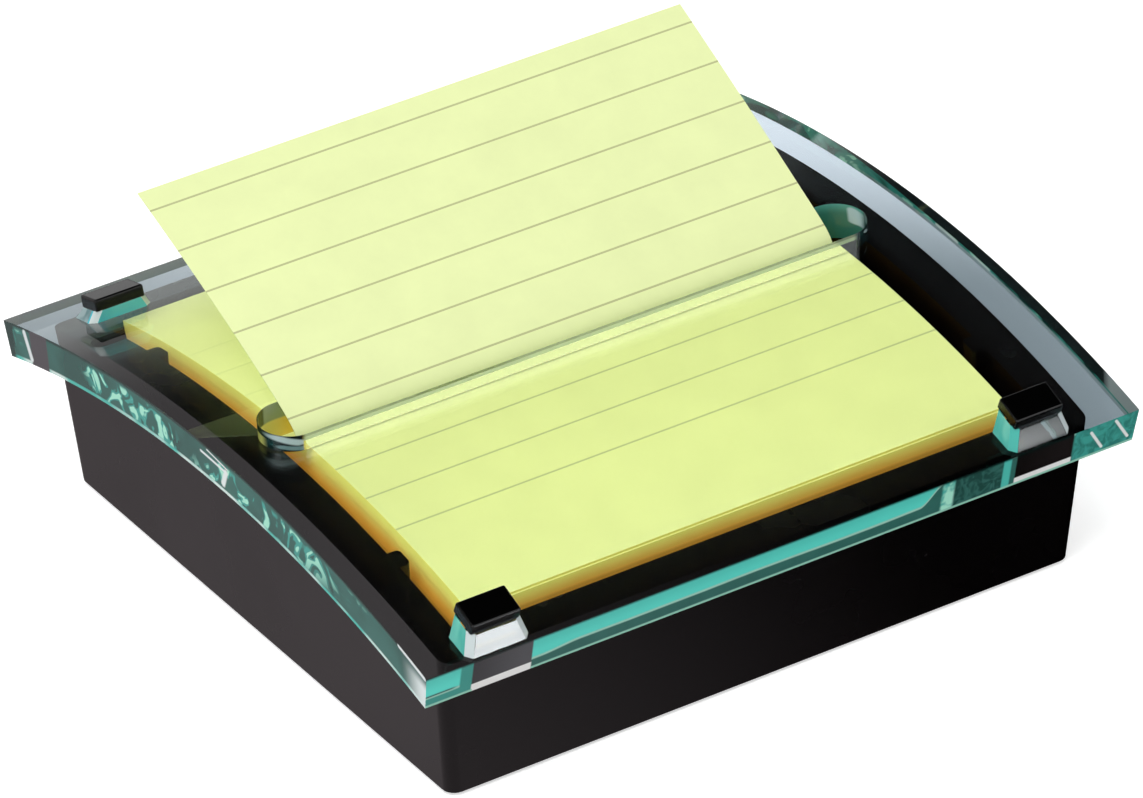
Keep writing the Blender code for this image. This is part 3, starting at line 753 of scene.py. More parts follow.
def paper(name, rgb, line_rgb=None, width_share=0.0, lines=10.0, through=0.0, glow=0.0):
    """Uncoated paper, ruled if a colour for the lines is given.

    through is the share of lamp light that it lets pass, and glow the strength of a painted glow in its
    own colour, for the light that reaches it so.
    """
    material, tree, shader = new_material(name)
    if tree:
        fibres = add_group(tree, fibre_group())
        tint = blend(tree, fibres.outputs["Cloud"], rgb, scaled(rgb, 1.05))
        if line_rgb:
            ruled = add_group(tree, ruled_group(), {"Width share": width_share, "Lines": lines})
            tint = blend(tree, ruled.outputs["Mask"], tint, line_rgb)
        tree.links.new(tint, shader.inputs["Base Color"])
        tree.links.new(tint, shader.inputs["Emission Color"])
        set_shader(shader, Roughness=paper_roughness, Specular_IOR_Level=paper_gloss,
                   Emission_Strength=glow)
        add_bump(tree, shader, fibres.outputs["Height"], 0.35, fibre_bump)
        if through:
            pass_light(tree, shader, scaled(rgb, through))
    return material


def pad_side(name, notes, radius, centre_z):
    """Stacked sheet edges: fine layers that follow the arch, with painted shade that darkens them towards
    the foot.
    """
    material, tree, shader = new_material(name)
    if tree:
        place = add_group(tree, arch_group(), {
            "Centre": centre_z, "Radius": radius - notes.pad_thick, "Depth": notes.pad_thick})
        share = place.outputs["Share"]
        layers = add_node(tree, "ShaderNodeTexNoise", {"Scale": stack_scale, "Detail": 2.0},
                          noise_dimensions="1D")
        tree.links.new(place.outputs["Height"], layers.inputs["W"])
        drift = maths(tree, "SUBTRACT", noise(tree, object_place(tree), 60.0, 3.0), 0.5)
        # Painted shade: the front side is darker, and dark from partway down
        front = rising(tree, place.outputs["Y"], pad_low.y + 0.0010, pad_low.y + 0.0003)
        drift_reach, front_fall = 0.16, 0.06
        level = maths(tree, "ADD", share, times(tree, drift, drift_reach))
        level = maths(tree, "SUBTRACT", level, times(tree, front, front_fall))
        foot_fade, top_fade, front_foot = (0.10, 0.55), (0.50, 0.98), (0.715, 0.60)
        tint = layered(
            tree, blend(tree, rising(tree, level, *foot_fade), notes.foot_colour, notes.shade_colour),
            (rising(tree, level, *top_fade), notes.side_colour),
            (times(tree, front, rising(tree, share, *front_foot)), notes.foot_colour))
        gaps = ranged(tree, layers.outputs["Fac"], 0.35, 0.65, 0.07, 0.0)
        tint = blend(tree, gaps, tint, (0.55, 0.42, 0.30), "MULTIPLY")
        tree.links.new(tint, shader.inputs["Base Color"])
        # A little glow stands for the light that comes through the sheets, on the sides that face it
        glow = rising(tree, place.outputs["X"], pad_high.x - 0.0002, pad_high.x - 0.0008)
        tree.links.new(blend(tree, glow, (0.0, 0.0, 0.0), tint), shader.inputs["Emission Color"])
        set_shader(shader, Roughness=edge_roughness, Specular_IOR_Level=paper_gloss,
                   Emission_Strength=stack_glow)
        add_bump(tree, shader, layers.outputs["Fac"], 0.4, stack_bump)
    return material


def make_mesh(name, bm, materials):
    mesh = bpy.data.meshes.new(name)
    bm.to_mesh(mesh)
    bm.free()
    for material in materials:
        mesh.materials.append(material)
    obj = bpy.data.objects.new(name, mesh)
    bpy.context.scene.collection.objects.link(obj)
    return obj


def settle(obj, body, slot, *replaced):
    """Ties a finished piece to its body, in place of the CAD nodes it stands for. The slot is not used."""
    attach(obj, body)
    if replaced:
        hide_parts(*replaced)


def combine(bm, tool, operation):
    """Boolean of two bmeshes through Blender's exact solver. Both are used up."""
    objects = []
    for name, source in (("combine_body", bm), ("combine_tool", tool)):
        mesh = bpy.data.meshes.new(name)
        source.to_mesh(mesh)
        source.free()
        obj = bpy.data.objects.new(name, mesh)
        bpy.context.scene.collection.objects.link(obj)
        objects.append(obj)
    body, cutter = objects
    modifier = body.modifiers.new("combine", "BOOLEAN")
    modifier.operation = operation
    modifier.solver = "EXACT"
    modifier.object = cutter
    result = bmesh.new()
    result.from_object(body, bpy.context.evaluated_depsgraph_get())
    for obj in objects:
        mesh = obj.data
        bpy.data.objects.remove(obj)
        bpy.data.meshes.remove(mesh)
    return result


def sharp_edges(bm, limit=sharp_angle):
    return [edge for edge in bm.edges
            if len(edge.link_faces) == 2 and edge.calc_face_angle(0.0) > limit]


def round_edges(bm, edges, width, segments=2):
    bmesh.ops.bevel(bm, geom=edges, offset=width, offset_type="OFFSET", segments=segments,
                    profile=0.5, affect="EDGES", clamp_overlap=True, material=-1)


def tidy(bm):
    """Merges doubles and clears the flat splits that a boolean leaves."""
    bmesh.ops.remove_doubles(bm, verts=bm.verts, dist=merge_distance)
    bmesh.ops.dissolve_limit(bm, angle_limit=flat_angle, verts=bm.verts, edges=bm.edges)
    bmesh.ops.recalc_face_normals(bm, faces=bm.faces)


def cut_across(bm, parts, place, direction):
    bmesh.ops.bisect_plane(bm, geom=parts or bm.verts[:] + bm.edges[:] + bm.faces[:],
                           dist=cut_distance, plane_co=place, plane_no=direction)


def slice_along(bm, low, high, strip):
    """Cuts a flat piece into strips across Y, so that it can be bent."""
    count = max(1, round((high - low) / strip))
    for index in range(1, count):
        cut_across(bm, None, (0, low + (high - low) * index / count, 0), (0, 1, 0))


def bend(bm, radius, centre_z):
    """Bends a flat piece over the arch. Y is then the arc at radius, and Z the height above it."""
    for vert in bm.verts:
        angle = vert.co.y / radius
        reach = radius + vert.co.z
        vert.co.y = reach * math.sin(angle)
        vert.co.z = centre_z + reach * math.cos(angle)


def unbent(y, z, radius, centre_z):
    """The flat place (Y, Z) of a point that bend would bring to y and z."""
    return radius * math.atan2(y, z - centre_z), math.hypot(y, z - centre_z) - radius


def shade(obj, limit=math.radians(30), radii=(), centre_z=0.0):
    """Smooth shading that keeps flat faces flat, and gives arched faces the arch's own normals."""
    mesh = obj.data
    mesh.shade_smooth()
    bm = bmesh.new()
    bm.from_mesh(mesh)
    closest = math.cos(limit)
    normals = [None] * len(mesh.loops)
    for face in bm.faces:
        weighted = {}
        for loop in face.loops:
            total = Vector()
            for other in loop.vert.link_faces:
                if other.normal.dot(face.normal) > closest:
                    total += other.normal * other.calc_area()
            weighted[loop.index] = total.normalized() if total.length else face.normal
        for radius in radii:
            outward = Vector((0, face.calc_center_median().y,
                              face.calc_center_median().z - centre_z)).normalized()
            side = face.normal.dot(outward)
            if abs(side) > arch_share and all(
                    abs(math.hypot(vert.co.y, vert.co.z - centre_z) - radius) < arc_distance
                    for vert in face.verts):
                for loop in face.loops:
                    arm = Vector((0, loop.vert.co.y, loop.vert.co.z - centre_z)).normalized()
                    weighted[loop.index] = arm * math.copysign(1, side)
        for index, normal in weighted.items():
            normals[index] = normal
    bm.free()
    mesh.normals_split_custom_set(normals)


def cad_copy(node):
    """A merged copy of a CAD node's mesh, with its flat faces joined up."""
    bm = bmesh.new()
    bm.from_mesh(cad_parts[node].data)
    tidy(bm)
    return bm


def dress(node, body, slot, material, width, chosen=None):
    """Puts a copy of a CAD node with rounded edges in the node's place."""
    bm = cad_copy(node)
    edges = [edge for edge in sharp_edges(bm, moulded_angle) if chosen is None or chosen(edge)]
    round_edges(bm, edges, width)
    piece = make_mesh(f"dressed_{node}", bm, (material,))
    shade(piece)
    settle(piece, body, slot, node)


def recoloured(node, material):
    """Gives a CAD node a finished material, with its shape left as it is."""
    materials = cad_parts[node].data.materials
    materials.clear()
    materials.append(material)


def add_box(bm, low, high):
    """Block from two opposite corners."""
    made = bmesh.ops.create_cube(bm, size=1)["verts"]
    for vert in made:
        vert.co = [high[axis] if vert.co[axis] > 0 else low[axis] for axis in range(3)]
    return made


def four_corners():
    for side_y, end in ((-1, "front"), (1, "back")):
        for side_x, side in ((-1, "left"), (1, "right")):
            yield f"{end}_{side}", side_x, side_y


def arch_centre(top):
    """Height of the arch's centre, below the table."""
    return plate_high.z - top.arch_radius - top.thickness


def block_rows(top, side_y):
    """The (y, z) of a corner block's outer and inner foot and top, with y measured outwards."""
    centre_z = arch_centre(top)
    radius = top.arch_radius + top.thickness
    inset, drop = ((top.back_inset, top.back_drop) if side_y > 0
                   else (top.front_inset, top.front_drop))
    outer_y = plate_high.y - inset
    inner_y = outer_y - top.block_depth
    outer_top_y = outer_y - top.block_outer_lean
    level_y = plate_high.y - top.front_inset - top.block_depth
    top_z = centre_z + math.sqrt(radius ** 2 - level_y ** 2) + top.block_height
    return (Vector((outer_y, centre_z + math.sqrt(radius ** 2 - outer_y ** 2))),
            Vector((inner_y, centre_z + math.sqrt(radius ** 2 - inner_y ** 2))),
            Vector((outer_top_y, top_z - drop * (outer_top_y - inner_y))),
            Vector((inner_y, top_z)))


def block_middle_x(top, side_x):
    return side_x * (plate_high.x - top.block_inset) - top.block_shift


def flat_slot(top):
    """Cutter for the slot, through the flat plate."""
    slot = bmesh.new()
    steps = 64
    place = Matrix.Translation((0, -top.slot_shift, 0)) @ Matrix.Rotation(math.pi / steps, 4, "Z")
    made = bmesh.ops.create_cone(
        slot, cap_ends=True, segments=steps, radius1=top.slot_width / 2,
        radius2=top.slot_width / 2, depth=4 * top.thickness, matrix=place)
    for vert in made["verts"]:
        vert.co.x += math.copysign(top.slot_reach, vert.co.x)
    return slot


def flat_tab(top, side_x, side_y, radius, centre_z):
    """Locating tab under the plate, brought to the flat."""
    tab = bmesh.new()
    for vert in bmesh.ops.create_cube(tab, size=1)["verts"]:
        y = side_y * top.tab_y + math.copysign(top.tab_thick / 2, vert.co.y)
        low_z = centre_z + math.sqrt(top.arch_radius ** 2 - y ** 2) - top.tab_depth
        flat_y, flat_z = unbent(y, low_z, radius, centre_z)
        if vert.co.z > 0:
            flat_z = top.edge_bevel - top.thickness
        vert.co = (side_x * top.tab_x + math.copysign(top.tab_length / 2, vert.co.x), flat_y, flat_z)
    return tab


def flat_block(top, side_x, side_y, radius, centre_z):
    """Corner block on the plate, brought to the flat."""
    block = bmesh.new()
    outer_foot, inner_foot, outer_top, inner_top = block_rows(top, side_y)
    middle = block_middle_x(top, side_x)
    made = bmesh.ops.create_cube(block, size=1)["verts"]
    upper = {vert for vert in made if vert.co.z > 0}
    for vert in made:
        outer = vert.co.y * side_y > 0
        if vert in upper:
            y, z = outer_top if outer else inner_top
            half = top.block_width / 2 - top.block_side_lean
        else:
            y, z = outer_foot if outer else inner_foot
            half = top.block_width / 2
        flat_y, flat_z = unbent(y, z, radius, centre_z)
        flat_z = flat_z if vert in upper else -top.edge_bevel
        vert.co = (middle + math.copysign(half, vert.co.x), side_y * flat_y, flat_z)
    uprights = [edge for vert in upper for edge in vert.link_edges
                if edge.other_vert(vert) not in upper]
    round_edges(block, uprights, top.block_chamfer, segments=1)
    return block


class NOTEDISPENSER_OT_clear_top(bpy.types.Operator):
    """Build the arched clear top with its slot, corner blocks and locating tabs"""

    bl_idname = "note_dispenser.clear_top"
    bl_label = "Clear top"

    def execute(self, context):
        top = context.scene.note_top
        centre_z = arch_centre(top)
        radius = top.arch_radius + top.thickness
        ends = {}
        for level, reach, inset in ((0.0, radius, 0.0), (-top.thickness, top.arch_radius, 1.0)):
            y = plate_high.y - inset * top.end_taper
            ends[level] = (plate_high.x - inset * top.side_taper, radius * math.asin(y / reach))

        bm = bmesh.new()
        for vert in bmesh.ops.create_cube(bm, size=1)["verts"]:
            level = 0.0 if vert.co.z > 0 else -top.thickness
            reach_x, reach_y = ends[level]
            vert.co = (math.copysign(reach_x, vert.co.x), math.copysign(reach_y, vert.co.y), level)
        bm = combine(bm, flat_slot(top), "DIFFERENCE")
        for _, side_x, side_y in four_corners():
            bm = combine(bm, flat_tab(top, side_x, side_y, radius, centre_z), "UNION")
            bm = combine(bm, flat_block(top, side_x, side_y, radius, centre_z), "UNION")

        tidy(bm)
        walls = [face for face in bm.faces if face.normal.y > facing_share
                 and abs(face.calc_center_median().y) < top.slot_width]
        parts = {part for face in walls for part in (*face.verts, *face.edges, face)}
        cut_across(bm, list(parts), (0, 0, -top.lip_depth), (0, 0, 1))
        self.choose_materials(bm, top, ends)
        round_edges(bm, [edge for edge in sharp_edges(bm) if not all(
            abs(vert.co.y) < top.slot_width and abs(vert.co.z + top.thickness) < plane_distance
            for vert in edge.verts)], top.edge_bevel)
        reach_y = ends[-top.thickness][1]
        slice_along(bm, -reach_y, reach_y, plate_strip)
        bend(bm, radius, centre_z)
        bmesh.ops.recalc_face_normals(bm, faces=bm.faces)
        plate = make_mesh("arched_clear_top", bm, self.materials(top))
        shade(plate, radii=(radius, top.arch_radius), centre_z=centre_z)
        settle(plate, "lid", "clear_acrylic", "clear_top")
        return {"FINISHED"}

    def materials(self, top):
        """Each with its smoothest and roughest finish, its transmission and its tint."""
        return [clear_plastic(f"clear_{name}", top, *look) for name, *look in (
            ("face", 0.0, 0.012, 1.0, top.body_colour),
            ("end_edge", 0.04, 0.10, 0.10, end_edge_tint),
            ("side_edge", 0.04, 0.10, 0.15, side_edge_tint),
            ("block", 0.01, 0.04, 0.35, block_tint),
            ("cut", 0.0, 0.02, 1.0, top.cut_colour),
            ("glint", 0.02, 0.06, 0.30, chamfer_tint),
            ("slot", 0.06, 0.14, 0.15, slot_tint),
            ("far_edge", 0.02, 0.05, 0.40, far_edge_tint))]

    def choose_materials(self, bm, top, ends):
        """Faces are clear, and each kind of edge has its own tint. The tints of the edges, blocks,
        chamfers and slot walls are painted light and shade; the cut walls are only tinted.
        """
        half_x, half_y = ends[-top.thickness]
        for face in bm.faces:
            middle = face.calc_center_median()
            slanted = abs(face.normal.x) > slant_share and abs(face.normal.y) > slant_share
            if abs(face.normal.z) > flat_share or middle.z < -top.thickness:
                kind = FACE
            elif middle.z > top.edge_bevel and slanted:
                kind = CHAMFER
            elif middle.z > top.edge_bevel:
                kind = FACE if middle.y * face.normal.y > half_y * block_share else BLOCK
            elif middle.x < top.edge_bevel - half_x:
                kind = SIDE_EDGE
            elif middle.x > half_x - top.edge_bevel or middle.y > half_y * edge_share:
                kind = FAR_EDGE
            elif middle.y < -half_y * edge_share:
                kind = END_EDGE
            else:
                kind = SLOT if middle.z > -top.lip_depth or face.normal.y < facing_share else CUT
            face.material_index = kind


class NOTEDISPENSER_OT_caps(bpy.types.Operator):
    """Build the four glossy caps on the corner blocks"""

    bl_idname = "note_dispenser.caps"
    bl_label = "Corner caps"

    def execute(self, context):
        top = context.scene.note_top
        gloss = grained("glossy_cap", top.cap_colour)
        half_x = top.block_width / 2 - top.block_side_lean - top.cap_border
        for where, side_x, side_y in four_corners():
            _, _, outer_top, inner_top = block_rows(top, side_y)
            middle = (outer_top + inner_top) / 2
            slope = math.atan2(inner_top.y - outer_top.y, outer_top.x - inner_top.x)
            half_y = (outer_top - inner_top).length / 2 - top.cap_border
            bm = bmesh.new()
            add_box(bm, (-half_x, -half_y, -top.edge_bevel / 4), (half_x, half_y, top.cap_height))
            upper = [edge for edge in bm.edges if any(vert.co.z > 0 for vert in edge.verts)]
            round_edges(bm, upper, top.cap_edge, segments=4)
            place = Matrix.Translation(
                (block_middle_x(top, side_x), side_y * middle.x, middle.y))
            bmesh.ops.transform(bm, matrix=place @ Matrix.Rotation(-side_y * slope, 4, "X"),
                                verts=bm.verts)
            cap = make_mesh(f"glossy_cap_{where}", bm, (gloss,))
            shade(cap, moulded_angle)
            settle(cap, "lid", "black_gloss", f"cap_{where}")
        return {"FINISHED"}


class NOTEDISPENSER_OT_base(bpy.types.Operator):
    """Dress the moulded base, its cover, feet, screws and ballast"""

    bl_idname = "note_dispenser.base"
    bl_label = "Base"

    def execute(self, context):
        base = context.scene.note_base
        rim_low_z = (shell_low.z + shell_high.z) / 2

        def outside(edge):
            """Edges of the rim and of the foot, not those of the cavity."""
            heights = [vert.co.z for vert in edge.verts]
            reach = max(max(abs(vert.co.x) / shell_high.x, abs(vert.co.y) / shell_high.y)
                        for vert in edge.verts)
            on_foot = max(heights) < shell_low.z + plane_distance
            return min(heights) > rim_low_z and reach > rim_share or on_foot

        dress("base_shell", "base", "black_plastic", grained("moulded_base", base.shell_colour),
              base.edge_round, outside)
        dress("bottom_cover", "base", "cover_plastic", grained("moulded_cover", base.cover_colour),
              base.edge_round / 2)
        recoloured("ballast_plate", grained("rolled_steel", base.ballast_colour))
        rubber = grained("foot_rubber_grain", base.foot_colour)
        zinc = grained("zinc_plate", base.screw_colour)
        for where, _, _ in four_corners():
            dress(f"foot_{where}", "base", "foot_rubber", rubber, base.edge_round / 2)
            self.add_screw(where, base, zinc)
        return {"FINISHED"}

    def add_screw(self, where, base, zinc):
        """Screw with a cross recess in its head."""
        node = f"cover_screw_{where}"
        low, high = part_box(node)
        middle_x, middle_y = (low.x + high.x) / 2, (low.y + high.y) / 2
        screw = cad_copy(node)
        for half_x, half_y in ((base.recess_width / 2, base.recess_length / 2),
                               (base.recess_length / 2, base.recess_width / 2)):
            recess = bmesh.new()
            add_box(recess, (middle_x - half_x, middle_y - half_y, low.z - base.recess_depth),
                    (middle_x + half_x, middle_y + half_y, low.z + base.recess_depth))
            screw = combine(screw, recess, "DIFFERENCE")
        tidy(screw)
        piece = make_mesh(f"cross_head_screw_{where}", screw, (zinc,))
        shade(piece)
        settle(piece, "base", "screw_steel", node)


def add_sheet_uv(bm, spacing, first, start, sign):
    """UV map for ruled lines on a flat piece: V counts spacings from start along Y."""
    layer = bm.loops.layers.uv.new("Sheet")
    for face in bm.faces:
        for loop in face.loops:
            along = sign * (loop.vert.co.y - start)
            loop[layer].uv = (loop.vert.co.x / spacing, (along - first) / spacing)


class NOTEDISPENSER_OT_pad(bpy.types.Operator):
    """Build the pad of stacked notes and its backing card"""

    bl_idname = "note_dispenser.pad"
    bl_label = "Note pad"

    def execute(self, context):
        top, notes = context.scene.note_top, context.scene.note_paper
        centre_z = arch_centre(top)
        radius = pad_high.z - centre_z
        half_x = (pad_high.x - pad_low.x) / 2
        front, back = (radius * math.asin(y / radius) for y in (pad_low.y, pad_high.y))

        bm = bmesh.new()
        add_box(bm, (-half_x, front, -notes.pad_thick), (half_x, back, 0))
        for index in range(1, pad_layers):
            cut_across(bm, None, (0, 0, -notes.pad_thick * index / pad_layers), (0, 0, 1))
        # Each layer stands a little further in or out than the next
        rng = random.Random(layer_seed)
        steps = {}
        for vert in bm.verts:
            level = round(vert.co.z, 7)
            if level not in steps:
                steps[level] = (rng.uniform(0, layer_step_x), rng.uniform(0, layer_step_y))
            step_x, step_y = steps[level]
            vert.co.x -= math.copysign(step_x, vert.co.x)
            vert.co.y -= math.copysign(step_y, vert.co.y)
        for face in bm.faces:
            face.material_index = 0 if face.normal.z > 0.5 else 1
        add_sheet_uv(bm, notes.line_spacing, notes.header, back, -1)
        slice_along(bm, front, back, pad_strip)
        bend(bm, radius, centre_z)
        # The pad's glow is painted light: an even glow that lifts the pad where the popped note shades it
        pad = make_mesh("stacked_notes", bm, (
            paper("ruled_pad", notes.pad_colour, notes.pad_line_colour,
                  notes.line_width / notes.line_spacing, glow=0.32),
            pad_side("sheet_edges", notes, radius, centre_z)))
        shade(pad, radii=(radius,), centre_z=centre_z)
        settle(pad, "base", "yellow_paper", "note_pad")
        recoloured("backing_card", paper("grey_card", notes.card_colour))
        return {"FINISHED"}


class NOTEDISPENSER_OT_top_note(bpy.types.Operator):
    """Build the front half of the first note, which lies on the pad"""

    bl_idname = "note_dispenser.top_note"
    bl_label = "Top note"

    def execute(self, context):
        top, notes = context.scene.note_top, context.scene.note_paper
        centre_z = arch_centre(top)
        radius = lying_high.z - centre_z
        front, back = (radius * math.asin(y / radius) for y in (lying_low.y, lying_high.y))
        # It reaches down across the gap that the solids leave above the pad
        thick = lying_high.z - pad_high.z - notes.sheet / 2
        bm = bmesh.new()
        add_box(bm, (lying_low.x, front, -thick), (lying_high.x, back, 0))
        for face in bm.faces:
            face.material_index = 0 if abs(face.normal.z) > 0.5 else 1
        add_sheet_uv(bm, notes.line_spacing, notes.header, front, 1)
        slice_along(bm, front, back, sheet_strip)
        bend(bm, radius, centre_z)
        sheet = make_mesh("lying_note", bm, (paper(
            "ruled_top_note", notes.pad_colour, notes.top_line_colour,
            notes.line_width / notes.line_spacing, lines=3.0),
            pad_side("sheet_edges", notes, pad_high.z - centre_z, centre_z)))
        shade(sheet, radii=(radius, radius - thick), centre_z=centre_z)
        settle(sheet, "base", "yellow_paper", "top_note")
        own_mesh(sheet)
        return {"FINISHED"}


class NOTEDISPENSER_OT_popped_note(bpy.types.Operator):
    """Build the half note that stands out of the slot and leans back on its rear lip"""

    bl_idname = "note_dispenser.popped_note"
    bl_label = "Popped note"

    def execute(self, context):
        top, notes = context.scene.note_top, context.scene.note_paper
        path, foot = self.side_view(top, notes)
        measure = [0.0]
        for first, second in zip(path, path[1:]):
            measure.append(measure[-1] + (second - first).length)

        bm = bmesh.new()
        bmesh.ops.create_grid(bm, x_segments=cross_steps, y_segments=len(path) - 1, size=1)
        layer = bm.loops.layers.uv.new("Sheet")
        half_x = (leaf_high.x - leaf_low.x) / 2
        rows = {vert: round((vert.co.y + 1) / 2 * (len(path) - 1)) for vert in bm.verts}
        for face in bm.faces:
            for loop in face.loops:
                from_tip = measure[-1] - measure[rows[loop.vert]]
                loop[layer].uv = (loop.vert.co.x * half_x / notes.line_spacing,
                                  (from_tip - notes.first_line) / notes.line_spacing)
        for vert in bm.verts:
            point = path[rows[vert]]
            share = max(0.0, measure[rows[vert]] - notes.flat_foot) / (measure[-1] - notes.flat_foot)
            twist = share ** twist_power
            vert.co = (
                vert.co.x * half_x,
                point.y - twist * vert.co.x * notes.twist_back,
                point.z + twist * (vert.co.x * notes.twist_up - notes.corner_fall))
        bmesh.ops.recalc_face_normals(bm, faces=bm.faces)
        bmesh.ops.solidify(bm, geom=bm.faces[:], thickness=notes.sheet)
        leaf = make_mesh("standing_note", bm, (paper(
            "ruled_popped_note", notes.paper_colour, notes.line_colour,
            notes.line_width / notes.line_spacing, through=0.75),))
        shade(leaf, moulded_angle)
        leaf.visible_glossy = False
        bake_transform(leaf)
        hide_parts("popped_note")
        return {"FINISHED"}

    def side_view(self, top, notes):
        """The note's path from its foot on the pad, over the slot's rear lip, to its free edge."""
        lip_y = top.slot_width / 2 - top.slot_shift
        lip_z = arch_centre(top) + math.sqrt((top.arch_radius + top.thickness) ** 2 - lip_y ** 2)
        foot = Vector((0, leaf_low.y + foot_inset, leaf_low.z))
        lip = Vector((0, lip_y - lip_keep_y, lip_z + lip_keep_z))
        tip = Vector((0, leaf_high.y, lip_z + notes.leaf_lift))
        bow = Vector((0, 0, leaf_bow))
        rise = interpolate_bezier(foot, foot + Vector(foot_handle),
                                  lip - Vector(lip_handle), lip, rise_steps)
        fall = interpolate_bezier(lip, lip + (tip - lip) * near_share + bow,
                                  lip + (tip - lip) * far_share + bow, tip, fall_steps)
        return rise + fall[1:], foot


class NOTEDISPENSER_OT_stage(bpy.types.Operator):
    """Set up the camera, the floor, the lamps and the world"""

    bl_idname = "note_dispenser.stage"
    bl_label = "Stage"

    def execute(self, context):
        stage = context.scene.note_stage
        add_camera(stage)
        add_floor(stage)
        for name, (place, size, watts) in lamps.items():
            add_lamp(name, place, size, watts)
        add_world(stage)
        context.scene.view_settings.view_transform = "Standard"
        return {"FINISHED"}


def add_camera(stage):
    azimuth, elevation, roll = stage.azimuth, stage.elevation, stage.roll
    away = math.cos(elevation)
    back = Vector((math.sin(azimuth) * away, -math.cos(azimuth) * away, math.sin(elevation)))
    level = Vector((math.cos(azimuth), math.sin(azimuth), 0))
    upright = back.cross(level)
    right = level * math.cos(roll) + upright * math.sin(roll)
    up = back.cross(right)
    data = bpy.data.cameras.new("photo_camera")
    data.lens = stage.lens
    data.sensor_width = sensor_width
    data.shift_x = (photo_width / 2 - axis_x) / photo_width
    data.shift_y = (axis_y - photo_height / 2) / photo_width
    data.clip_start, data.clip_end = 0.05, 20.0
    camera = bpy.data.objects.new("photo_camera", data)
    bpy.context.scene.collection.objects.link(camera)
    turn = Matrix((right, up, back)).transposed().to_4x4()
    place = Vector((0, 0, stage.target_height)) + back * stage.distance
    camera.matrix_world = Matrix.Translation(place) @ turn
    bpy.context.scene.camera = camera


def ray_masks(tree):
    """Masks of rays that came by a glossy surface, and of rays that came by glass, undiffused."""
    path = add_node(tree, "ShaderNodeLightPath")
    plain = maths(tree, "LESS_THAN", path.outputs["Diffuse Depth"], 0.5)
    through = times(tree, path.outputs["Is Transmission Ray"], plain)
    gloss = times(tree, times(tree, path.outputs["Is Glossy Ray"], plain),
                  maths(tree, "SUBTRACT", 1.0, path.outputs["Is Transmission Ray"]))
    return path.outputs["Is Camera Ray"], gloss, through


def add_floor(stage):
    """Pale floor that carries painted light and shade. Glossy surfaces see it bright on the left and dark
    in front, as in a studio.
    """
    bm = bmesh.new()
    # A hair below the feet, so that the two planes don't share one height
    bmesh.ops.create_grid(bm, x_segments=1, y_segments=1, size=floor_size,
                          matrix=Matrix.Translation((0, 0, -floor_gap)))
    material, tree, shader = new_material("pale_floor")
    set_shader(shader, Roughness=0.7, Specular_IOR_Level=0.2)
    camera, gloss, through = ray_masks(tree)
    place = separated(tree, object_place(tree))
    x, y = place["X"], place["Y"]
    behind, sheen_fade = (0.065, 0.135), (0.045, -0.075)
    card_right, card_left, card_y = (0.235, 0.070), (-0.03, 0.03), (-0.50, -0.27, 0.03)
    lift_strength, camera_glow, card_strength, sheen_strength = 0.34, 0.55, 20.0, 0.38

    # Through the clear top it looks dark in front, with painted shade, and bright behind, with a painted
    # glow
    far = rising(tree, maths(tree, "ADD", y, times(tree, x, 0.55)), *behind)
    seen_through = blend(tree, far, stage.near_shade_colour, stage.far_colour)
    lift = times(tree, times(tree, through, far), lift_strength)
    tree.links.new(blend(tree, through, stage.floor_colour, seen_through),
                   shader.inputs["Base Color"])
    tree.links.new(blend(tree, camera, (0.45, 0.58, 0.92), (1.0, 1.0, 1.0)),
                   shader.inputs["Emission Color"])
    tree.links.new(maths(tree, "ADD", times(tree, camera, camera_glow), lift),
                   shader.inputs["Emission Strength"])

    # In gloss it shows painted reflections: a glowing sheen that fades to the right, and a bright glowing
    # card in front
    card = times(tree, rising(tree, x, *card_right), card_strength)
    card = times(tree, card, rising(tree, x, *card_left))
    card = times(tree, card, between(tree, y, *card_y))
    glow = add_node(tree, "ShaderNodeEmission")
    tree.links.new(blend(tree, rising(tree, card, 0.0, 1.0), (1.0, 0.88, 0.92), (0.93, 0.98, 1.0)),
                   glow.inputs["Color"])
    sheen = times(tree, rising(tree, x, *sheen_fade), sheen_strength)
    tree.links.new(maths(tree, "ADD", sheen, card), glow.inputs["Strength"])
    mix_shaders(tree, gloss, shader, glow)
    make_mesh("pale_floor", bm, (material,))


def add_lamp(name, place, size, watts):
    data = bpy.data.lights.new(name, "AREA")
    data.shape = "DISK"
    data.size = size
    data.energy = watts
    lamp = bpy.data.objects.new(name, data)
    bpy.context.scene.collection.objects.link(lamp)
    aim = (Vector(lamp_aim) - Vector(place)).to_track_quat("-Z", "Y")
    lamp.matrix_world = Matrix.Translation(place) @ aim.to_matrix().to_4x4()


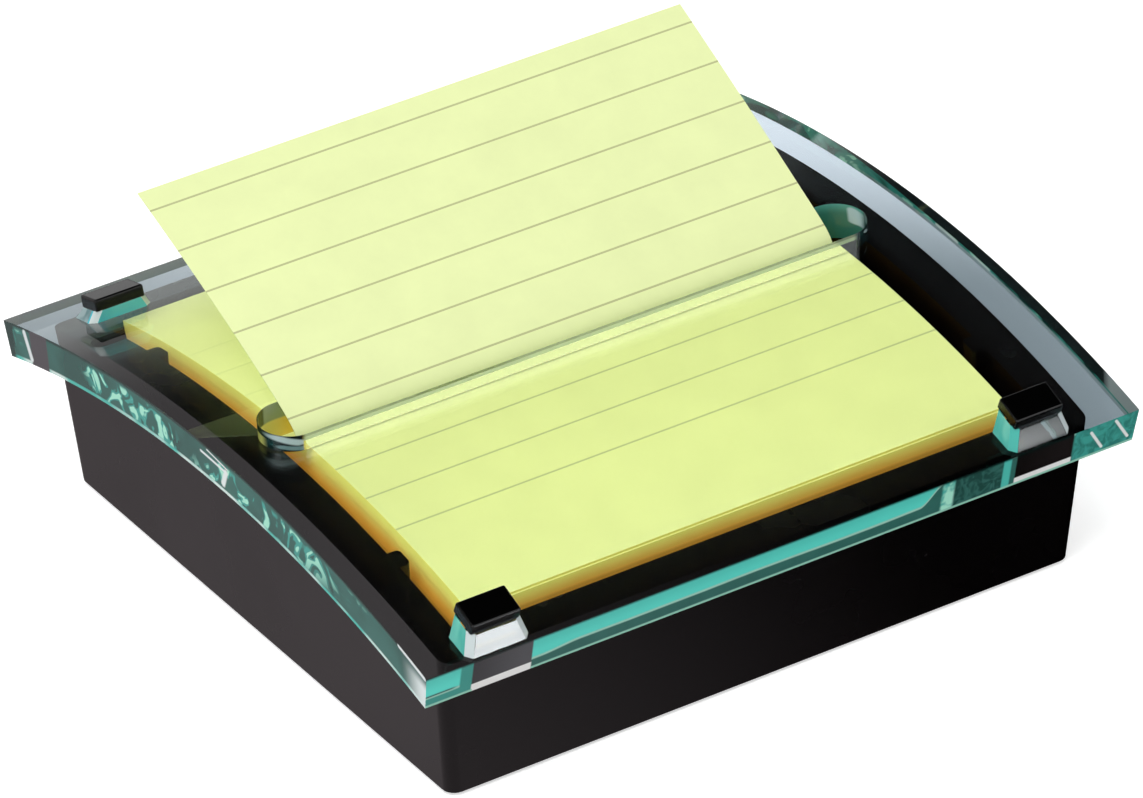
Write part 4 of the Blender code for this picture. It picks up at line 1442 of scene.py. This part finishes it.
def add_world(stage):
    """Even soft light, white to the camera, with a bright horizon for gloss and for glass."""
    world = bpy.data.worlds.new("soft_room")
    bpy.context.scene.world = world
    world.use_nodes = True
    tree = world.node_tree
    background = tree.nodes["Background"]
    camera, gloss, through = ray_masks(tree)
    direction = separated(tree, add_node(tree, "ShaderNodeTexCoord").outputs["Generated"])
    horizon, low_horizon = (
        times(tree, rising(tree, direction["Z"], height, horizon_foot), horizon_strength)
        for height in (gloss_horizon, glass_horizon))
    strength = world_strength
    for mask, value in ((through, low_horizon), (gloss, horizon), (camera, camera_strength)):
        mix = add_node(tree, "ShaderNodeMix", data_type="FLOAT")
        put(tree, mask, mix.inputs["Factor"])
        put(tree, strength, mix.inputs["A"])
        put(tree, value, mix.inputs["B"])
        strength = mix.outputs["Result"]
    tree.links.new(strength, background.inputs["Strength"])
    background.inputs["Color"].default_value = opaque(stage.sky_colour)


class NOTEDISPENSER_PT_panel(bpy.types.Panel):
    """Pieces and settings of the note dispenser"""

    bl_idname = "NOTEDISPENSER_PT_panel"
    bl_label = "Note dispenser"
    bl_space_type = "VIEW_3D"
    bl_region_type = "UI"
    bl_category = "Note dispenser"

    def draw(self, context):
        layout = self.layout
        for operator in operators:
            layout.operator(operator.bl_idname)
        for name, group in settings.items():
            box = layout.box()
            box.label(text=group.__doc__)
            for key in group.__annotations__:
                box.prop(getattr(context.scene, name), key)


settings = {
    "note_top": NoteTopSettings,
    "note_paper": NotePaperSettings,
    "note_base": NoteBaseSettings,
    "note_stage": NoteStageSettings,
}
operators = (
    NOTEDISPENSER_OT_stage,
    NOTEDISPENSER_OT_base,
    NOTEDISPENSER_OT_pad,
    NOTEDISPENSER_OT_top_note,
    NOTEDISPENSER_OT_popped_note,
    NOTEDISPENSER_OT_clear_top,
    NOTEDISPENSER_OT_caps,
)


def register():
    for group in settings.values():
        bpy.utils.register_class(group)
    for name, group in settings.items():
        setattr(bpy.types.Scene, name, bpy.props.PointerProperty(type=group))
    for operator in operators:
        bpy.utils.register_class(operator)
    bpy.utils.register_class(NOTEDISPENSER_PT_panel)


def unregister():
    bpy.utils.unregister_class(NOTEDISPENSER_PT_panel)
    for operator in reversed(operators):
        bpy.utils.unregister_class(operator)
    for name, group in settings.items():
        delattr(bpy.types.Scene, name)
        bpy.utils.unregister_class(group)


def main():
    register()
    bpy.ops.note_dispenser.stage()
    bpy.ops.note_dispenser.base()
    bpy.ops.note_dispenser.pad()
    bpy.ops.note_dispenser.top_note()
    bpy.ops.note_dispenser.popped_note()
    bpy.ops.note_dispenser.clear_top()
    bpy.ops.note_dispenser.caps()


if __name__ == "__main__":
    main()
